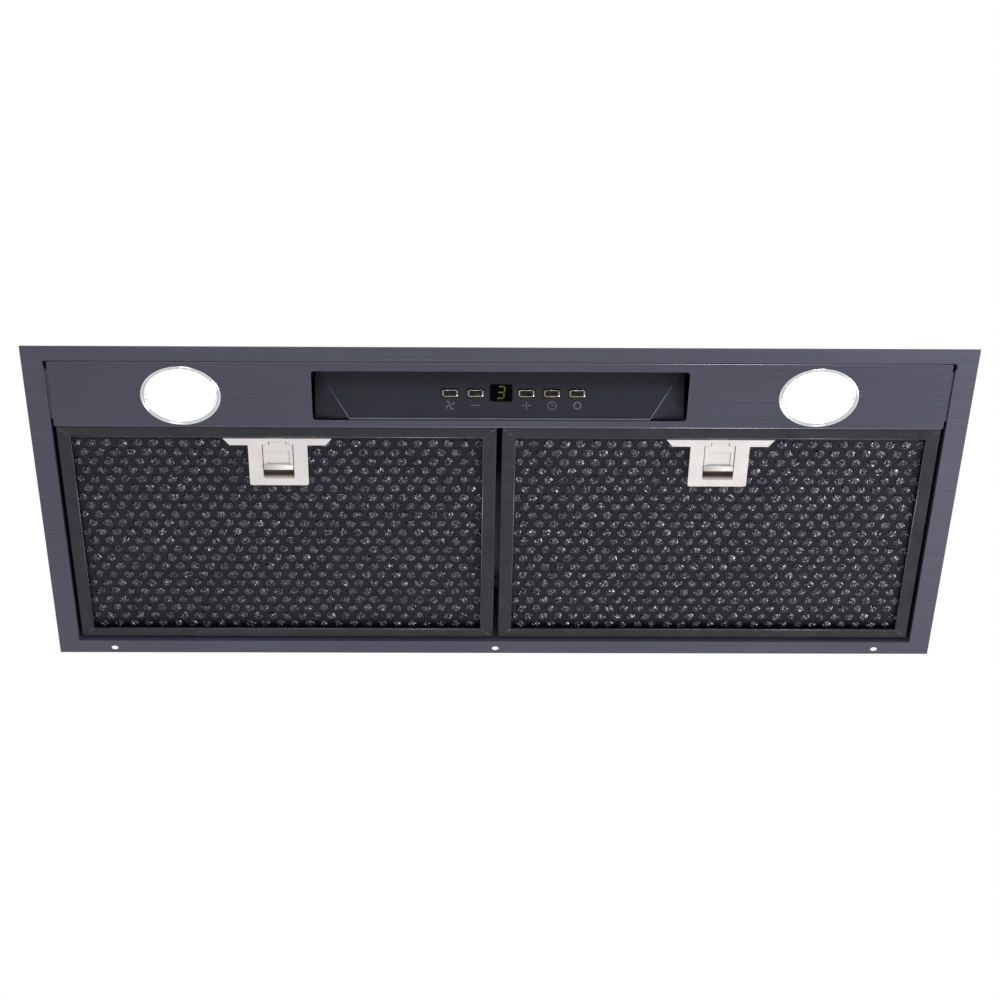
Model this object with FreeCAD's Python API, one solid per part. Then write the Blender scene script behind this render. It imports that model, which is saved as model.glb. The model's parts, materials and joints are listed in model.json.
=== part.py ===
import FreeCAD, Part

import math
import os

# A built-in range hood that hangs through a cut-out in the bottom of a wall cabinet.
# Millimetres, +X to the cook's right, +Y to the wall, +Z up.  While a piece is drawn, y is
# measured from the front edge of the mounting flange; save() moves it so that the origin is
# the centre of the flange's underside.

V = FreeCAD.Vector

# ---- Driving dimensions: canopy -------------------------------------------------------
WIDTH = 700.0              # mounting flange, left to right
DEPTH = 335.0              # mounting flange, front to back
SHEET = 1.0                # every folded sheet of the casing
SIDE_FLANGE = 16.0
FRONT_FLANGE = 14.0
REAR_FLANGE = 14.0
SKIRT_HEIGHT = 48.0        # side and rear walls above the flange
FRONT_WALL = 12.0          # low front wall; the roof slopes back from it at 45 degrees
TOP_LIP = 12.0             # inward lips that carry the roof
RELIEF_LENGTH = 5.0        # slots that let the front corners fold
RELIEF_WIDTH = 1.5
FLANGE_HOLE_RADIUS = 2.75
FLANGE_HOLE_EDGE = 5.2     # hole centre to the rear edge
FLANGE_HOLE_PITCH = 306.0

# ---- Front fascia and lamps ------------------------------------------------------------
PANEL_LIFT = 0.8           # underside of the fascia above the flange's underside
PANEL_SIDE_GAP = 2.0
PANEL_FRONT_GAP = 1.5
PANEL_DEPTH = 67.0
PANEL_FRONT_RETURN = 9.0   # height of its upturned front edge
PANEL_REAR_RETURN = 14.0   # height of its upturned rear edge
PANEL_BEND = 2.4
BRACKET_WIDTH = 28.0
BRACKET_TOP = 20.0
LAMP_PITCH = 472.0         # between the two lamp centres
LAMP_Y = 49.4
LAMP_RADIUS = 29.75
LAMP_NECK_RADIUS = 28.2
LAMP_LENS_RADIUS = 25.9
LAMP_HEIGHT = 19.0

# ---- Control insert --------------------------------------------------------------------
CUTOUT_HALF = 139.2        # opening in the fascia, half its length
CUTOUT_FRONT = 24.0
CUTOUT_REAR = 74.4
INSERT_GAP = 1.6           # dark gap at the insert's ends
INSERT_WALL = 2.5
FACE_TILT = 35.0           # the key face leans towards the cook
FACE_LENGTH = 39.3
RIDGE_Y = 72.0             # lower edge of the key face
RIDGE_HALF = 112.0         # half length of the ridge between the cut corners
CORNER_DROP = 3.6          # how far the cut corners rise above the ridge
KEY_WIDTH = 12.4
KEY_HEIGHT = 6.5
KEY_PITCH = 18.95
KEY_ROW_X = 0.8            # centre of the display
KEY_UP_FACE = 19.0         # key centres above the ridge, along the face
KEY_CLEARANCE = 0.4
KEY_PROUD = 0.9
KEY_TRAVEL = 0.8
SWITCH_FLOOR = 0.3         # under the bore that a key's stem runs in
DISPLAY_WIDTH = 17.6
DISPLAY_HEIGHT = 13.8
BOARD_DEPTH = 10.0         # key face to the control board
BOARD_SHEET = 1.6
BOARD_MARGIN = 24.4        # outermost key centres to the board's ends
BOARD_UP = 15.0            # key centres to the board's two long edges
BOARD_DOWN = 14.0
POST_INSET = 4.5           # post centres in from the board's edges
POST_RADIUS = 3.0
POST_PIN_RADIUS = 1.2      # pins that the board is staked on
COVER_ROOM = 4.5           # board's ends to the inside of its cover
COVER_ROOM_UP = 2.0        # board's long edges to the inside of its cover
COVER_ROOM_DOWN = 1.0
COVER_WALL = 1.5
COVER_DEPTH = 6.0          # board to the outside of its cover

# ---- Grease filters and latches --------------------------------------------------------
FILTER_END_GAP = 1.5       # to the fascia in front and the canopy's rear wall
FILTER_SIDE_GAP = 2.5      # to the canopy's side wall
FILTER_MID_GAP = 4.0       # between the two filters
FILTER_Z = 3.0
FILTER_THICK = 10.0
FILTER_SHEET = 0.8
RAIL = 10.0                # face width of the filter's frame
RAIL_EDGE = 0.9            # rounding along the rails' visible edges
FACING_UP = 4.5            # facing above the rails' face
FACING_SHEET = 0.6
FOIL_SHEET = 0.3
FOIL_LAYERS = 3
FOIL_STEP = 1.3            # between foil layers
HOLE_RADIUS = 4.0
HOLE_PITCH = 11.7
ROW_PITCH = 9.7
UNDER_RAIL = 2.5           # how far behind the rails' inner edge hole centres may lie
TAB_WIDTH = 20.0
LATCH_Y = 96.5             # front edge of the latch plate
LATCH_WING = 81.5
LATCH_WING_DEPTH = 6.8
LATCH_BODY = 44.7
LATCH_LENGTH = 49.5
LATCH_PLATE = 1.5
SLIDER_WIDTH = 22.4
SLIDER_LENGTH = 29.1
SLIDER_GAP = 0.55
SLIDER_NECK = 12.6         # width of the slider's front end
SLIDER_NECK_LENGTH = 3.2
LATCH_TRAVEL = 6.0
RIDGE_RADIUS = 2.2         # of the slider's finger ridge
FINGER_ROOM = 3.6          # left behind the slider when it is drawn right back
LATCH_WALL = 1.5
TONGUE_HALF = 6.0
TONGUE_GAP = 0.4           # bolt tip to the fascia's rear return

# ---- Blower ----------------------------------------------------------------------------
BOX_WIDTH = 320.0
BOX_FLANGE = 12.0
BOX_EDGE_GAP = 1.0         # from the box's flange to the ends of the flat roof
COLLAR_RADIUS = 60.0       # outside of the collar, for a 120 mm duct
COLLAR_WALL = 1.5
COLLAR_HEIGHT = 28.0
COLLAR_FOOT = 12.0
COLLAR_GAP = 0.5           # from the collar's foot to the box's front and rear edges
COLLAR_SCREW_ANGLE = 33.0  # of the collar's screws, from the left-right line
SHAFT_RADIUS = 4.0
FAN_RADIUS = 44.0
FAN_REAR_GAP = 18.0        # fan's rim to the blower box's rear wall
FAN_SINK = 11.0            # how far the fan's rim reaches below the blower box's foot
FAN_HEADROOM = 24.0        # fan's rim to the blower box's top
FAN_HALF = 37.0
FAN_BLADE = 8.0
FAN_BLADES = 30
TONGUE_GAP_RADIAL = 5.0    # fan to the scroll's tongue
THROAT_GAP_RADIAL = 24.0   # fan to the end of the spiral
SCROLL_START = 75.0        # angle of the scroll's tongue above the rear
SCROLL_SWEEP = 255.0
SCROLL_HALF = 45.0
SCROLL_WALL = 2.5
SCROLL_LIP = 16.0          # flange round the scroll's mouth
MOUTH_FRONT_GAP = 15.0     # scroll's mouth to the front edge of the blower box's top
INLET_STEP = 7.0           # inlet's radius below the fan's
MOTOR_RADIUS = 32.0
MOTOR_WALL = 1.5
MOTOR_BACK = -64.0         # places along the shaft, from the fan's middle plane
MOTOR_SPLIT = -50.0
MOTOR_NOSE = -12.0
MOTOR_LUG = 4.0
STATOR_X0 = -44.0
STATOR_X1 = -26.0
ROTOR_RADIUS = 16.0
AIR_GAP = 0.5
BEARING_RADIUS = 9.0
BEARING_LENGTH = 6.0
BRACKET_REACH = 47.0       # bracket feet from the shaft
BRACKET_SHEET = 2.0
DAMPER_PIN_RADIUS = 1.5
DAMPER_CLEARANCE = 0.08
SCREW_RADIUS = 1.9
SCREW_HOLE = 2.1

# ---- Electronics ---------------------------------------------------------------------------
TRAY_GAP = 10.0            # from the blower box's flange
TRAY_LENGTH = 140.0
TRAY_DEPTH = 160.0
TRAY_FRONT = 55.0          # from the top of the roof's front slope
TRAY_HEIGHT = 44.0
TRAY_WALL = 2.0
WIRE_HOLE_RADIUS = 7.0
GLAND_RADIUS = 8.0
GLAND_BORE = 4.5

# ---- Derived places --------------------------------------------------------------------
MID = DEPTH / 2
OPEN_HALF = WIDTH / 2 - SIDE_FLANGE
OPEN_Y0 = FRONT_FLANGE
OPEN_Y1 = DEPTH - REAR_FLANGE
ROOF_Z = SKIRT_HEIGHT
BOX_Z = ROOF_Z + SHEET
BOX_TOP = BOX_Z + 2 * FAN_RADIUS - FAN_SINK + FAN_HEADROOM
SLOPE_TOP = OPEN_Y0 - SHEET + SKIRT_HEIGHT - FRONT_WALL   # y where the roof turns flat
BOX_Y0 = SLOPE_TOP + BOX_EDGE_GAP + BOX_FLANGE
BOX_Y1 = OPEN_Y1 - BOX_EDGE_GAP - BOX_FLANGE
COLLAR_Y = BOX_Y1 - COLLAR_GAP - COLLAR_RADIUS - COLLAR_FOOT
SHAFT_Y = BOX_Y1 - FAN_REAR_GAP - FAN_RADIUS
SHAFT_Z = BOX_Z + FAN_RADIUS - FAN_SINK
TONGUE_RADIUS = FAN_RADIUS + TONGUE_GAP_RADIAL
THROAT_RADIUS = FAN_RADIUS + THROAT_GAP_RADIAL
BOX_TOP_Y0 = min(SHAFT_Y - THROAT_RADIUS - MOUTH_FRONT_GAP, COLLAR_Y - COLLAR_RADIUS - COLLAR_FOOT - COLLAR_GAP)
INLET_RADIUS = FAN_RADIUS - INLET_STEP
TRAY_X0 = BOX_WIDTH / 2 + BOX_FLANGE + TRAY_GAP
TRAY_X1 = TRAY_X0 + TRAY_LENGTH
TRAY_Y0 = SLOPE_TOP + TRAY_FRONT
TRAY_Y1 = TRAY_Y0 + TRAY_DEPTH
PANEL_HALF = OPEN_HALF - PANEL_SIDE_GAP
PANEL_Y0 = OPEN_Y0 + PANEL_FRONT_GAP
PANEL_Y1 = PANEL_Y0 + PANEL_DEPTH
PANEL_TOP = PANEL_LIFT + SHEET
INSERT_HALF = CUTOUT_HALF - INSERT_GAP
FILTER_WIDTH = OPEN_HALF - FILTER_SIDE_GAP - FILTER_MID_GAP / 2
FILTER_X = FILTER_MID_GAP / 2 + FILTER_WIDTH / 2
FILTER_Y0 = PANEL_Y1 + FILTER_END_GAP
FILTER_Y1 = OPEN_Y1 - FILTER_END_GAP
FILTER_TOP = FILTER_Z + FILTER_THICK
FACING_Z = FILTER_Z + FACING_UP
DAMPER_Z = BOX_TOP + 12.0
SIDES = ((-1, "left"), (1, "right"))


# ---- Helpers ---------------------------------------------------------------------------
def block(x0, x1, y0, y1, z0, z1):
    """A box between two corners."""
    return Part.makeBox(x1 - x0, y1 - y0, z1 - z0, V(x0, y0, z0))


def rod(radius, start, end):
    """A round bar from start to end."""
    run = end - start
    return Part.makeCylinder(radius, run.Length, start, run)


def tube(outer, inner, start, end):
    """A round tube from start to end."""
    return rod(outer, start, end).cut(rod(inner, start, end))


def extruded(points, run):
    """A closed outline of points pushed along run."""
    return Part.Face(Part.makePolygon(points + points[:1])).extrude(run)


def rounded(shape, direction, radius):
    """Fillets every straight edge of the shape that runs along direction."""
    picked = []
    for edge in shape.Edges:
        if len(edge.Vertexes) != 2:
            continue
        run = edge.Vertexes[1].Point - edge.Vertexes[0].Point
        if run.cross(direction).Length < 1e-6 * run.Length:
            picked.append(edge)
    return shape.makeFillet(radius, picked)


def rounded_plate(x, y, width, height, z0, z1, radius):
    """A plate centred on x, y with round corners."""
    plate = block(x - width / 2, x + width / 2, y - height / 2, y + height / 2, z0, z1)
    return rounded(plate, V(0, 0, 1), radius)


def turned(profile, x, y):
    """A solid turned about the vertical line at x, y from (radius, z) points."""
    points = [V(x + radius, y, z) for radius, z in profile]
    face = Part.Face(Part.makePolygon(points + points[:1]))
    return face.revolve(V(x, y, 0), V(0, 0, 1), 360)


def strip(points, thickness, width_run):
    """A bent strip of even thickness that follows points, pushed along width_run."""
    side = V(width_run).normalize()
    normals = []
    for start, end in zip(points, points[1:]):
        normals.append((end - start).cross(side).normalize())
    offset = []
    for index, point in enumerate(points):
        before = normals[max(index - 1, 0)]
        after = normals[min(index, len(normals) - 1)]
        mitre = before + after
        offset.append(point + mitre * (2 * thickness / mitre.Length ** 2))
    return extruded(points + offset[::-1], width_run)


def cut_all(shape, tools):
    """The shape with every tool taken out."""
    return shape.cut(Part.makeCompound(tools)) if tools else shape


def fused(shapes):
    """One solid from shapes that meet."""
    return shapes[0].multiFuse(shapes[1:]).removeSplitter()


def mirrored(shape):
    """The same piece on the other side of the hood."""
    return shape.mirror(V(0, 0, 0), V(1, 0, 0))


def on_face(shape):
    """Moves a piece drawn flat (y down the key face from its ridge, z into the hood) to the face."""
    placed = shape.copy()
    placed.rotate(V(0, 0, 0), V(1, 0, 0), -FACE_TILT)
    placed.translate(V(0, RIDGE_Y, PANEL_LIFT))
    return placed


def screw(head_seat, inward, radius=SCREW_RADIUS, length=6.0):
    """A pan-head screw whose head sits on head_seat and whose shank points inward."""
    direction = V(inward).normalize()
    shank = rod(radius, head_seat, head_seat + direction * length)
    head = rod(radius * 2.1, head_seat - direction * (radius * 1.1), head_seat)
    slot = rod(radius * 0.8, head_seat - direction * (radius * 1.2), head_seat - direction * (radius * 0.5))
    return head.cut(slot).fuse(shank).removeSplitter()


def screw_bore(head_seat, inward, length=6.0):
    """The clearance hole for a screw at the same seat."""
    direction = V(inward).normalize()
    return rod(SCREW_HOLE, head_seat - direction * length, head_seat + direction * length)


def save(name, *solids):
    """Writes one sub-part, moved so that y = 0 is the middle of the hood."""
    shape = solids[0].copy() if len(solids) == 1 else Part.makeCompound([s.copy() for s in solids])
    shape.translate(V(0, -MID, 0))
    shape.exportStep("parts/" + name + ".step")


os.makedirs("parts", exist_ok=True)


# ---- Screw places, shared by the pieces they join ----------------------------------------
def roof_screw_seats():
    """Screws that hold the roof on the canopy's side and rear lips."""
    lip = TOP_LIP / 2
    side_x = OPEN_HALF - lip
    rear_y = OPEN_Y1 - lip
    places = [(side_x, 80.0), (side_x, rear_y), (BOX_WIDTH / 2 + BOX_FLANGE + 20, rear_y)]
    return [V(side * x, y, BOX_Z) for side, _ in SIDES for x, y in places]


def box_screw_seats():
    """Screws that hold the blower box on the roof."""
    x = BOX_WIDTH / 2 + BOX_FLANGE / 2
    return [V(side * x, y, BOX_Z + SHEET) for side, _ in SIDES for y in (BOX_Y0 + 25, BOX_Y1 - 15)]


def collar_screw_seats():
    """Screws through the collar's foot and the box's top into the scroll's lip."""
    reach = COLLAR_RADIUS + COLLAR_FOOT / 2
    turn = math.radians(COLLAR_SCREW_ANGLE)
    dx = reach * math.cos(turn)
    dy = reach * math.sin(turn)
    return [V(x * dx, COLLAR_Y + y * dy, BOX_TOP + COLLAR_WALL) for x in (-1, 1) for y in (-1, 1)]


def bracket_screw_seats(side):
    """Screws through a fascia bracket into the canopy's side wall."""
    return [V(side * (OPEN_HALF - SHEET), y, 13.0) for y in (LAMP_Y - 15, LAMP_Y + 15)]


# ---- Canopy ------------------------------------------------------------------------------
def canopy_frame():
    """Flange, four folded walls and their inward lips: one folded sheet."""
    flange = block(-WIDTH / 2, WIDTH / 2, 0, DEPTH, 0, SHEET)
    flange = flange.cut(block(-OPEN_HALF, OPEN_HALF, OPEN_Y0, OPEN_Y1, -1, SHEET + 1))
    y0 = OPEN_Y0 - SHEET
    y1 = OPEN_Y1 + SHEET
    outline = [(y0, 0), (y1, 0), (y1, SKIRT_HEIGHT), (SLOPE_TOP, SKIRT_HEIGHT), (y0, FRONT_WALL)]
    pieces = [flange, block(-OPEN_HALF, OPEN_HALF, y0, OPEN_Y0, 0, FRONT_WALL),
              block(-OPEN_HALF, OPEN_HALF, OPEN_Y1, y1, 0, SKIRT_HEIGHT),
              block(-OPEN_HALF, OPEN_HALF, OPEN_Y1 - TOP_LIP, OPEN_Y1, SKIRT_HEIGHT - SHEET, SKIRT_HEIGHT)]
    for side, _ in SIDES:
        wall = extruded([V(side * OPEN_HALF, y, z) for y, z in outline], V(side * SHEET, 0, 0))
        x0, x1 = sorted((side * OPEN_HALF, side * (OPEN_HALF - TOP_LIP)))
        pieces += [wall, block(x0, x1, SLOPE_TOP + 12, OPEN_Y1, SKIRT_HEIGHT - SHEET, SKIRT_HEIGHT)]
    body = fused(pieces)
    tools = []
    for side, _ in SIDES:
        x = side * OPEN_HALF
        half = RELIEF_WIDTH / 2
        tools.append(block(x - half, x + half, OPEN_Y0 + 1, OPEN_Y0 + 1 + RELIEF_LENGTH, -1, 4))
        tools += [screw_bore(seat, V(side, 0, 0)) for seat in bracket_screw_seats(side)]
        for tab in tab_centres(side):
            tools.append(block(tab - TAB_WIDTH / 2 - 1, tab + TAB_WIDTH / 2 + 1,
                               OPEN_Y1 - 1, OPEN_Y1 + SHEET + 1, FILTER_TOP - 4.5, FILTER_TOP - 1.5))
    for x in (-FLANGE_HOLE_PITCH, 0, FLANGE_HOLE_PITCH):
        hole_y = DEPTH - FLANGE_HOLE_EDGE
        tools.append(rod(FLANGE_HOLE_RADIUS, V(x, hole_y, -1), V(x, hole_y, SHEET + 1)))
    tools += [screw_bore(seat, V(0, 0, -1)) for seat in roof_screw_seats()]
    return cut_all(body, tools)


def roof_panel():
    """Roof sheet, bent down at 45 degrees along the front, with the blower's opening."""
    half = OPEN_HALF + SHEET
    line = [V(-half, OPEN_Y0 - SHEET, FRONT_WALL), V(-half, SLOPE_TOP, SKIRT_HEIGHT),
            V(-half, OPEN_Y1 + SHEET, SKIRT_HEIGHT)]
    sheet = strip(line, -SHEET, V(half * 2, 0, 0))
    half_x = BOX_WIDTH / 2 - 10
    tools = [block(-half_x, half_x, BOX_Y0 + 12, BOX_Y1 - 10, ROOF_Z - 1, BOX_Z + 1)]
    tools += [screw_bore(seat, V(0, 0, -1)) for seat in roof_screw_seats() + box_screw_seats()]
    wire_hole = V(TRAY_X0 + 20, TRAY_Y0 + 20, ROOF_Z - 1)
    tools.append(rod(WIRE_HOLE_RADIUS, wire_hole, wire_hole + V(0, 0, SHEET + 2)))
    return cut_all(sheet, tools)


def box_outline(inset, drop):
    """y, z outline of the blower box, its sheet's inner face at a given inset."""
    low = BOX_Z - drop
    high = BOX_TOP - inset
    run = BOX_TOP_Y0 - BOX_Y0
    rise = BOX_TOP - BOX_Z
    foot = BOX_Y0 + inset * math.hypot(run, rise) / rise
    front = [(foot + (z - BOX_Z) * run / rise, z) for z in (low, high)]
    return front + [(BOX_Y1 - inset, high), (BOX_Y1 - inset, low)]


def blower_box():
    """Upper casing round the blower: sloping front, flat top and an out-turned foot."""
    half = BOX_WIDTH / 2
    shell = extruded([V(-half, y, z) for y, z in box_outline(0, 0)], V(half * 2, 0, 0))
    foot = block(-half - BOX_FLANGE, half + BOX_FLANGE, BOX_Y0 - BOX_FLANGE, BOX_Y1 + BOX_FLANGE,
                 BOX_Z, BOX_Z + SHEET)
    inside = extruded([V(-half + SHEET, y, z) for y, z in box_outline(SHEET, 1)], V((half - SHEET) * 2, 0, 0))
    body = shell.fuse(foot).cut(inside).removeSplitter()
    bore = COLLAR_RADIUS - COLLAR_WALL
    tools = [rod(bore, V(0, COLLAR_Y, BOX_TOP - 5), V(0, COLLAR_Y, BOX_TOP + 5))]
    tools += [screw_bore(seat, V(0, 0, -1)) for seat in box_screw_seats() + collar_screw_seats()]
    return cut_all(body, tools)


# ---- Duct collar and its back-draught flaps ------------------------------------------------
def outlet_collar():
    """Duct collar with a flat foot, a stop ring under the flaps and bores for their pin."""
    inner = COLLAR_RADIUS - COLLAR_WALL
    foot_z = BOX_TOP + COLLAR_WALL
    rim = COLLAR_RADIUS + COLLAR_FOOT
    profile = [(inner, BOX_TOP), (rim, BOX_TOP), (rim, foot_z), (COLLAR_RADIUS, foot_z),
               (COLLAR_RADIUS, BOX_TOP + COLLAR_HEIGHT), (inner, BOX_TOP + COLLAR_HEIGHT),
               (inner, DAMPER_Z - 1.5), (inner - 2, DAMPER_Z - 1.5), (inner - 2, DAMPER_Z - 3),
               (inner, DAMPER_Z - 4)]
    body = turned(profile, 0, COLLAR_Y)
    tools = [screw_bore(seat, V(0, 0, -1)) for seat in collar_screw_seats()]
    tools.append(damper_rod(DAMPER_PIN_RADIUS + DAMPER_CLEARANCE, COLLAR_RADIUS + 5))
    return cut_all(body, tools)


def damper_rod(radius, reach):
    """A round bar on the flaps' pin line."""
    return rod(radius, V(-reach, COLLAR_Y, DAMPER_Z), V(reach, COLLAR_Y, DAMPER_Z))


def damper_flap(side, knuckles):
    """Half-round flap; side is -1 for the front one, and knuckles are its places along the pin."""
    radius = COLLAR_RADIUS - COLLAR_WALL - 1.2
    edge = 5.0
    half = 0.6
    disc = rod(radius, V(0, COLLAR_Y, DAMPER_Z - half), V(0, COLLAR_Y, DAMPER_Z + half))
    y0, y1 = sorted((COLLAR_Y + side * edge, COLLAR_Y + side * 100))
    pieces = [disc.common(block(-radius, radius, y0, y1, DAMPER_Z - 5, DAMPER_Z + 5))]
    for x in knuckles:
        pieces.append(rod(3.0, V(x - 5, COLLAR_Y, DAMPER_Z), V(x + 5, COLLAR_Y, DAMPER_Z)))
        near, far = sorted((COLLAR_Y, COLLAR_Y + side * (edge + 2)))
        pieces.append(block(x - 5, x + 5, near, far, DAMPER_Z - half, DAMPER_Z + half))
    return fused(pieces).cut(damper_rod(DAMPER_PIN_RADIUS + DAMPER_CLEARANCE, COLLAR_RADIUS + 5))


# ---- Blower ----------------------------------------------------------------------------------
def scroll_outline():
    """Inner outline of the scroll: a spiral round the fan that opens into a straight duct going up."""
    def point(turn):
        angle = math.radians(SCROLL_START - turn * SCROLL_SWEEP)
        radius = TONGUE_RADIUS + turn * (THROAT_RADIUS - TONGUE_RADIUS)
        return V(0, SHAFT_Y + radius * math.cos(angle), SHAFT_Z + radius * math.sin(angle))

    spans = 5
    edges = []
    for index in range(spans):
        edges.append(Part.Arc(point(index / spans), point((index + 0.5) / spans),
                              point((index + 1) / spans)).toShape())
    start = point(0)
    end = point(1)
    top = BOX_TOP - SHEET
    corners = [end, V(0, end.y, top), V(0, start.y, top), start]
    edges += [Part.makeLine(a, b) for a, b in zip(corners, corners[1:])]
    return Part.Wire(edges)


def scroll_half(side):
    """One moulded half of the double-inlet scroll, split on the fan's middle plane."""
    inner_face = Part.Face(scroll_outline())
    outer_face = inner_face.makeOffset2D(SCROLL_WALL, 2)
    outer = outer_face.extrude(V(SCROLL_HALF * 2, 0, 0))
    outer.translate(V(-SCROLL_HALF, 0, 0))
    inner_half = SCROLL_HALF - SCROLL_WALL
    inner = inner_face.extrude(V(inner_half * 2, 0, 0))
    inner.translate(V(-inner_half, 0, 0))
    top = BOX_TOP - SHEET
    duct_y0 = SHAFT_Y - THROAT_RADIUS
    duct_y1 = SHAFT_Y + TONGUE_RADIUS * math.cos(math.radians(SCROLL_START))
    reach = SCROLL_HALF + SCROLL_LIP
    screw_ys = [seat.y for seat in collar_screw_seats()]
    lip_y0 = min(duct_y0 - 4, min(screw_ys) - 6)
    lip_y1 = max(duct_y1 + 10, max(screw_ys) + 6)
    lip = block(-reach, reach, lip_y0, lip_y1, top - SCROLL_WALL, top)
    mouth = block(-inner_half, inner_half, duct_y0, duct_y1, top - 10, top + 10)
    trim = block(-100, 100, 0, DEPTH, top, top + 20)
    inlets = rod(INLET_RADIUS, V(-100, SHAFT_Y, SHAFT_Z), V(100, SHAFT_Y, SHAFT_Z))
    body = outer.fuse(lip)
    tools = [inner, mouth, trim, inlets]
    tools += [screw_bore(seat, V(0, 0, -1)) for seat in collar_screw_seats()]
    tools += [rod(SCREW_HOLE, V(-SCROLL_HALF - 5, y, z), V(-SCROLL_HALF + 5, y, z)) for y, z in bracket_feet()]
    for tool in tools:
        body = body.cut(tool)
    low, high = sorted((0, side * 100))
    return body.common(block(low, high, 0, DEPTH, 0, BOX_TOP)).removeSplitter()


def bracket_feet():
    """y, z of the three places where the motor bracket stands on the scroll's left wall."""
    feet = []
    for index in range(3):
        angle = math.radians(210 + 120 * index)
        feet.append((SHAFT_Y + BRACKET_REACH * math.cos(angle), SHAFT_Z + BRACKET_REACH * math.sin(angle)))
    return feet


def along_shaft(profile):
    """A solid turned about the fan's shaft from (x, radius) points."""
    points = [V(x, SHAFT_Y, SHAFT_Z + radius) for x, radius in profile]
    face = Part.Face(Part.makePolygon(points + points[:1]))
    return face.revolve(V(0, SHAFT_Y, SHAFT_Z), V(1, 0, 0), 360)


def impeller():
    """Double-inlet squirrel-cage fan: centre disc, hub, two end rings and a ring of blades."""
    bore = SHAFT_RADIUS + 0.02
    disc = along_shaft([(-8, bore), (-8, 10), (-1, 10), (-1, FAN_RADIUS), (1, FAN_RADIUS), (1, 10),
                        (12, 10), (12, bore)])
    rings = []
    for side in (-1, 1):
        low, high = sorted((side * FAN_HALF, side * (FAN_HALF - 3)))
        rings.append(along_shaft([(low, FAN_RADIUS - 4), (low, FAN_RADIUS), (high, FAN_RADIUS),
                                  (high, FAN_RADIUS - 4)]))
    blades = []
    for index in range(FAN_BLADES):
        blade = block(-FAN_HALF + 0.5, FAN_HALF - 0.5, SHAFT_Y - 0.5, SHAFT_Y + 0.5,
                      SHAFT_Z + FAN_RADIUS - FAN_BLADE, SHAFT_Z + FAN_RADIUS - 0.6)
        middle = V(0, SHAFT_Y, SHAFT_Z + FAN_RADIUS - FAN_BLADE / 2)
        blade.rotate(middle, V(1, 0, 0), 35)
        blade.rotate(V(0, SHAFT_Y, SHAFT_Z), V(1, 0, 0), index * 360 / FAN_BLADES)
        blades.append(blade)
    return disc.multiFuse(rings + blades)


def motor_can(end, split):
    """Half of the motor's case, from its end wall to its lug, with a seat for one bearing."""
    inward = 1 if split > end else -1
    wall = MOTOR_WALL * inward
    inner = MOTOR_RADIUS - MOTOR_WALL
    lug = MOTOR_RADIUS + MOTOR_LUG
    hole = SHAFT_RADIUS + 0.5
    seat = BEARING_RADIUS + 0.02
    deep = end + wall + BEARING_LENGTH * inward
    return along_shaft([(end, hole), (end, MOTOR_RADIUS), (split - wall, MOTOR_RADIUS), (split - wall, lug),
                        (split, lug), (split, inner), (end + wall, inner), (end + wall, seat + 2.5),
                        (deep, seat + 2.5), (deep, seat), (end + wall, seat), (end + wall, hole)])


def ring_along_shaft(x0, x1, inner, outer):
    """A plain ring round the shaft."""
    return along_shaft([(x0, inner), (x0, outer), (x1, outer), (x1, inner)])


def motor_bearings():
    """The motor's two bearings, in the seats of its cans."""
    bore = SHAFT_RADIUS + 0.05
    rings = []
    for x in (MOTOR_BACK + MOTOR_WALL, MOTOR_NOSE - MOTOR_WALL - BEARING_LENGTH):
        rings.append(ring_along_shaft(x, x + BEARING_LENGTH, bore, BEARING_RADIUS))
    return rings


def stator_windings():
    """The two coil heads that stand out of the stator core."""
    inner = ROTOR_RADIUS + 2.5
    outer = MOTOR_RADIUS - MOTOR_WALL - 2.5
    return [ring_along_shaft(STATOR_X0 - 5.5, STATOR_X0, inner, outer),
            ring_along_shaft(STATOR_X1, STATOR_X1 + 5, inner, outer)]


def motor_shaft():
    """Steel shaft that carries the rotor and the fan."""
    return rod(SHAFT_RADIUS, V(MOTOR_BACK - 2, SHAFT_Y, SHAFT_Z), V(14, SHAFT_Y, SHAFT_Z))


def motor_bracket():
    """Ring behind the motor's lug with three arms that reach the scroll's wall."""
    x0 = MOTOR_SPLIT + MOTOR_WALL
    x1 = x0 + BRACKET_SHEET
    ring = along_shaft([(x0, MOTOR_RADIUS + 0.2), (x0, MOTOR_RADIUS + 5), (x1, MOTOR_RADIUS + 5),
                        (x1, MOTOR_RADIUS + 0.2)])
    arms = []
    for y, z in bracket_feet():
        foot = V(x0, y, z)
        reach = (foot - V(x0, SHAFT_Y, SHAFT_Z)).Length
        arm = block(x0, x1, SHAFT_Y + MOTOR_RADIUS + 2, SHAFT_Y + reach, SHAFT_Z - 6, SHAFT_Z + 6)
        arm = arm.fuse(rod(6, V(x0, SHAFT_Y + reach, SHAFT_Z), V(x1, SHAFT_Y + reach, SHAFT_Z)))
        arm.rotate(V(0, SHAFT_Y, SHAFT_Z), V(1, 0, 0), math.degrees(math.atan2(z - SHAFT_Z, y - SHAFT_Y)))
        arms.append(arm)
    bores = [rod(SCREW_HOLE, V(x0 - 5, y, z), V(x1 + 5, y, z)) for y, z in bracket_feet()]
    return cut_all(fused([ring] + arms), bores)


def motor_grommets():
    """Rubber washers between the bracket's feet and the scroll."""
    x0 = MOTOR_SPLIT + MOTOR_WALL + BRACKET_SHEET
    return [tube(6, SCREW_HOLE, V(x0, y, z), V(-SCROLL_HALF, y, z)) for y, z in bracket_feet()]


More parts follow.
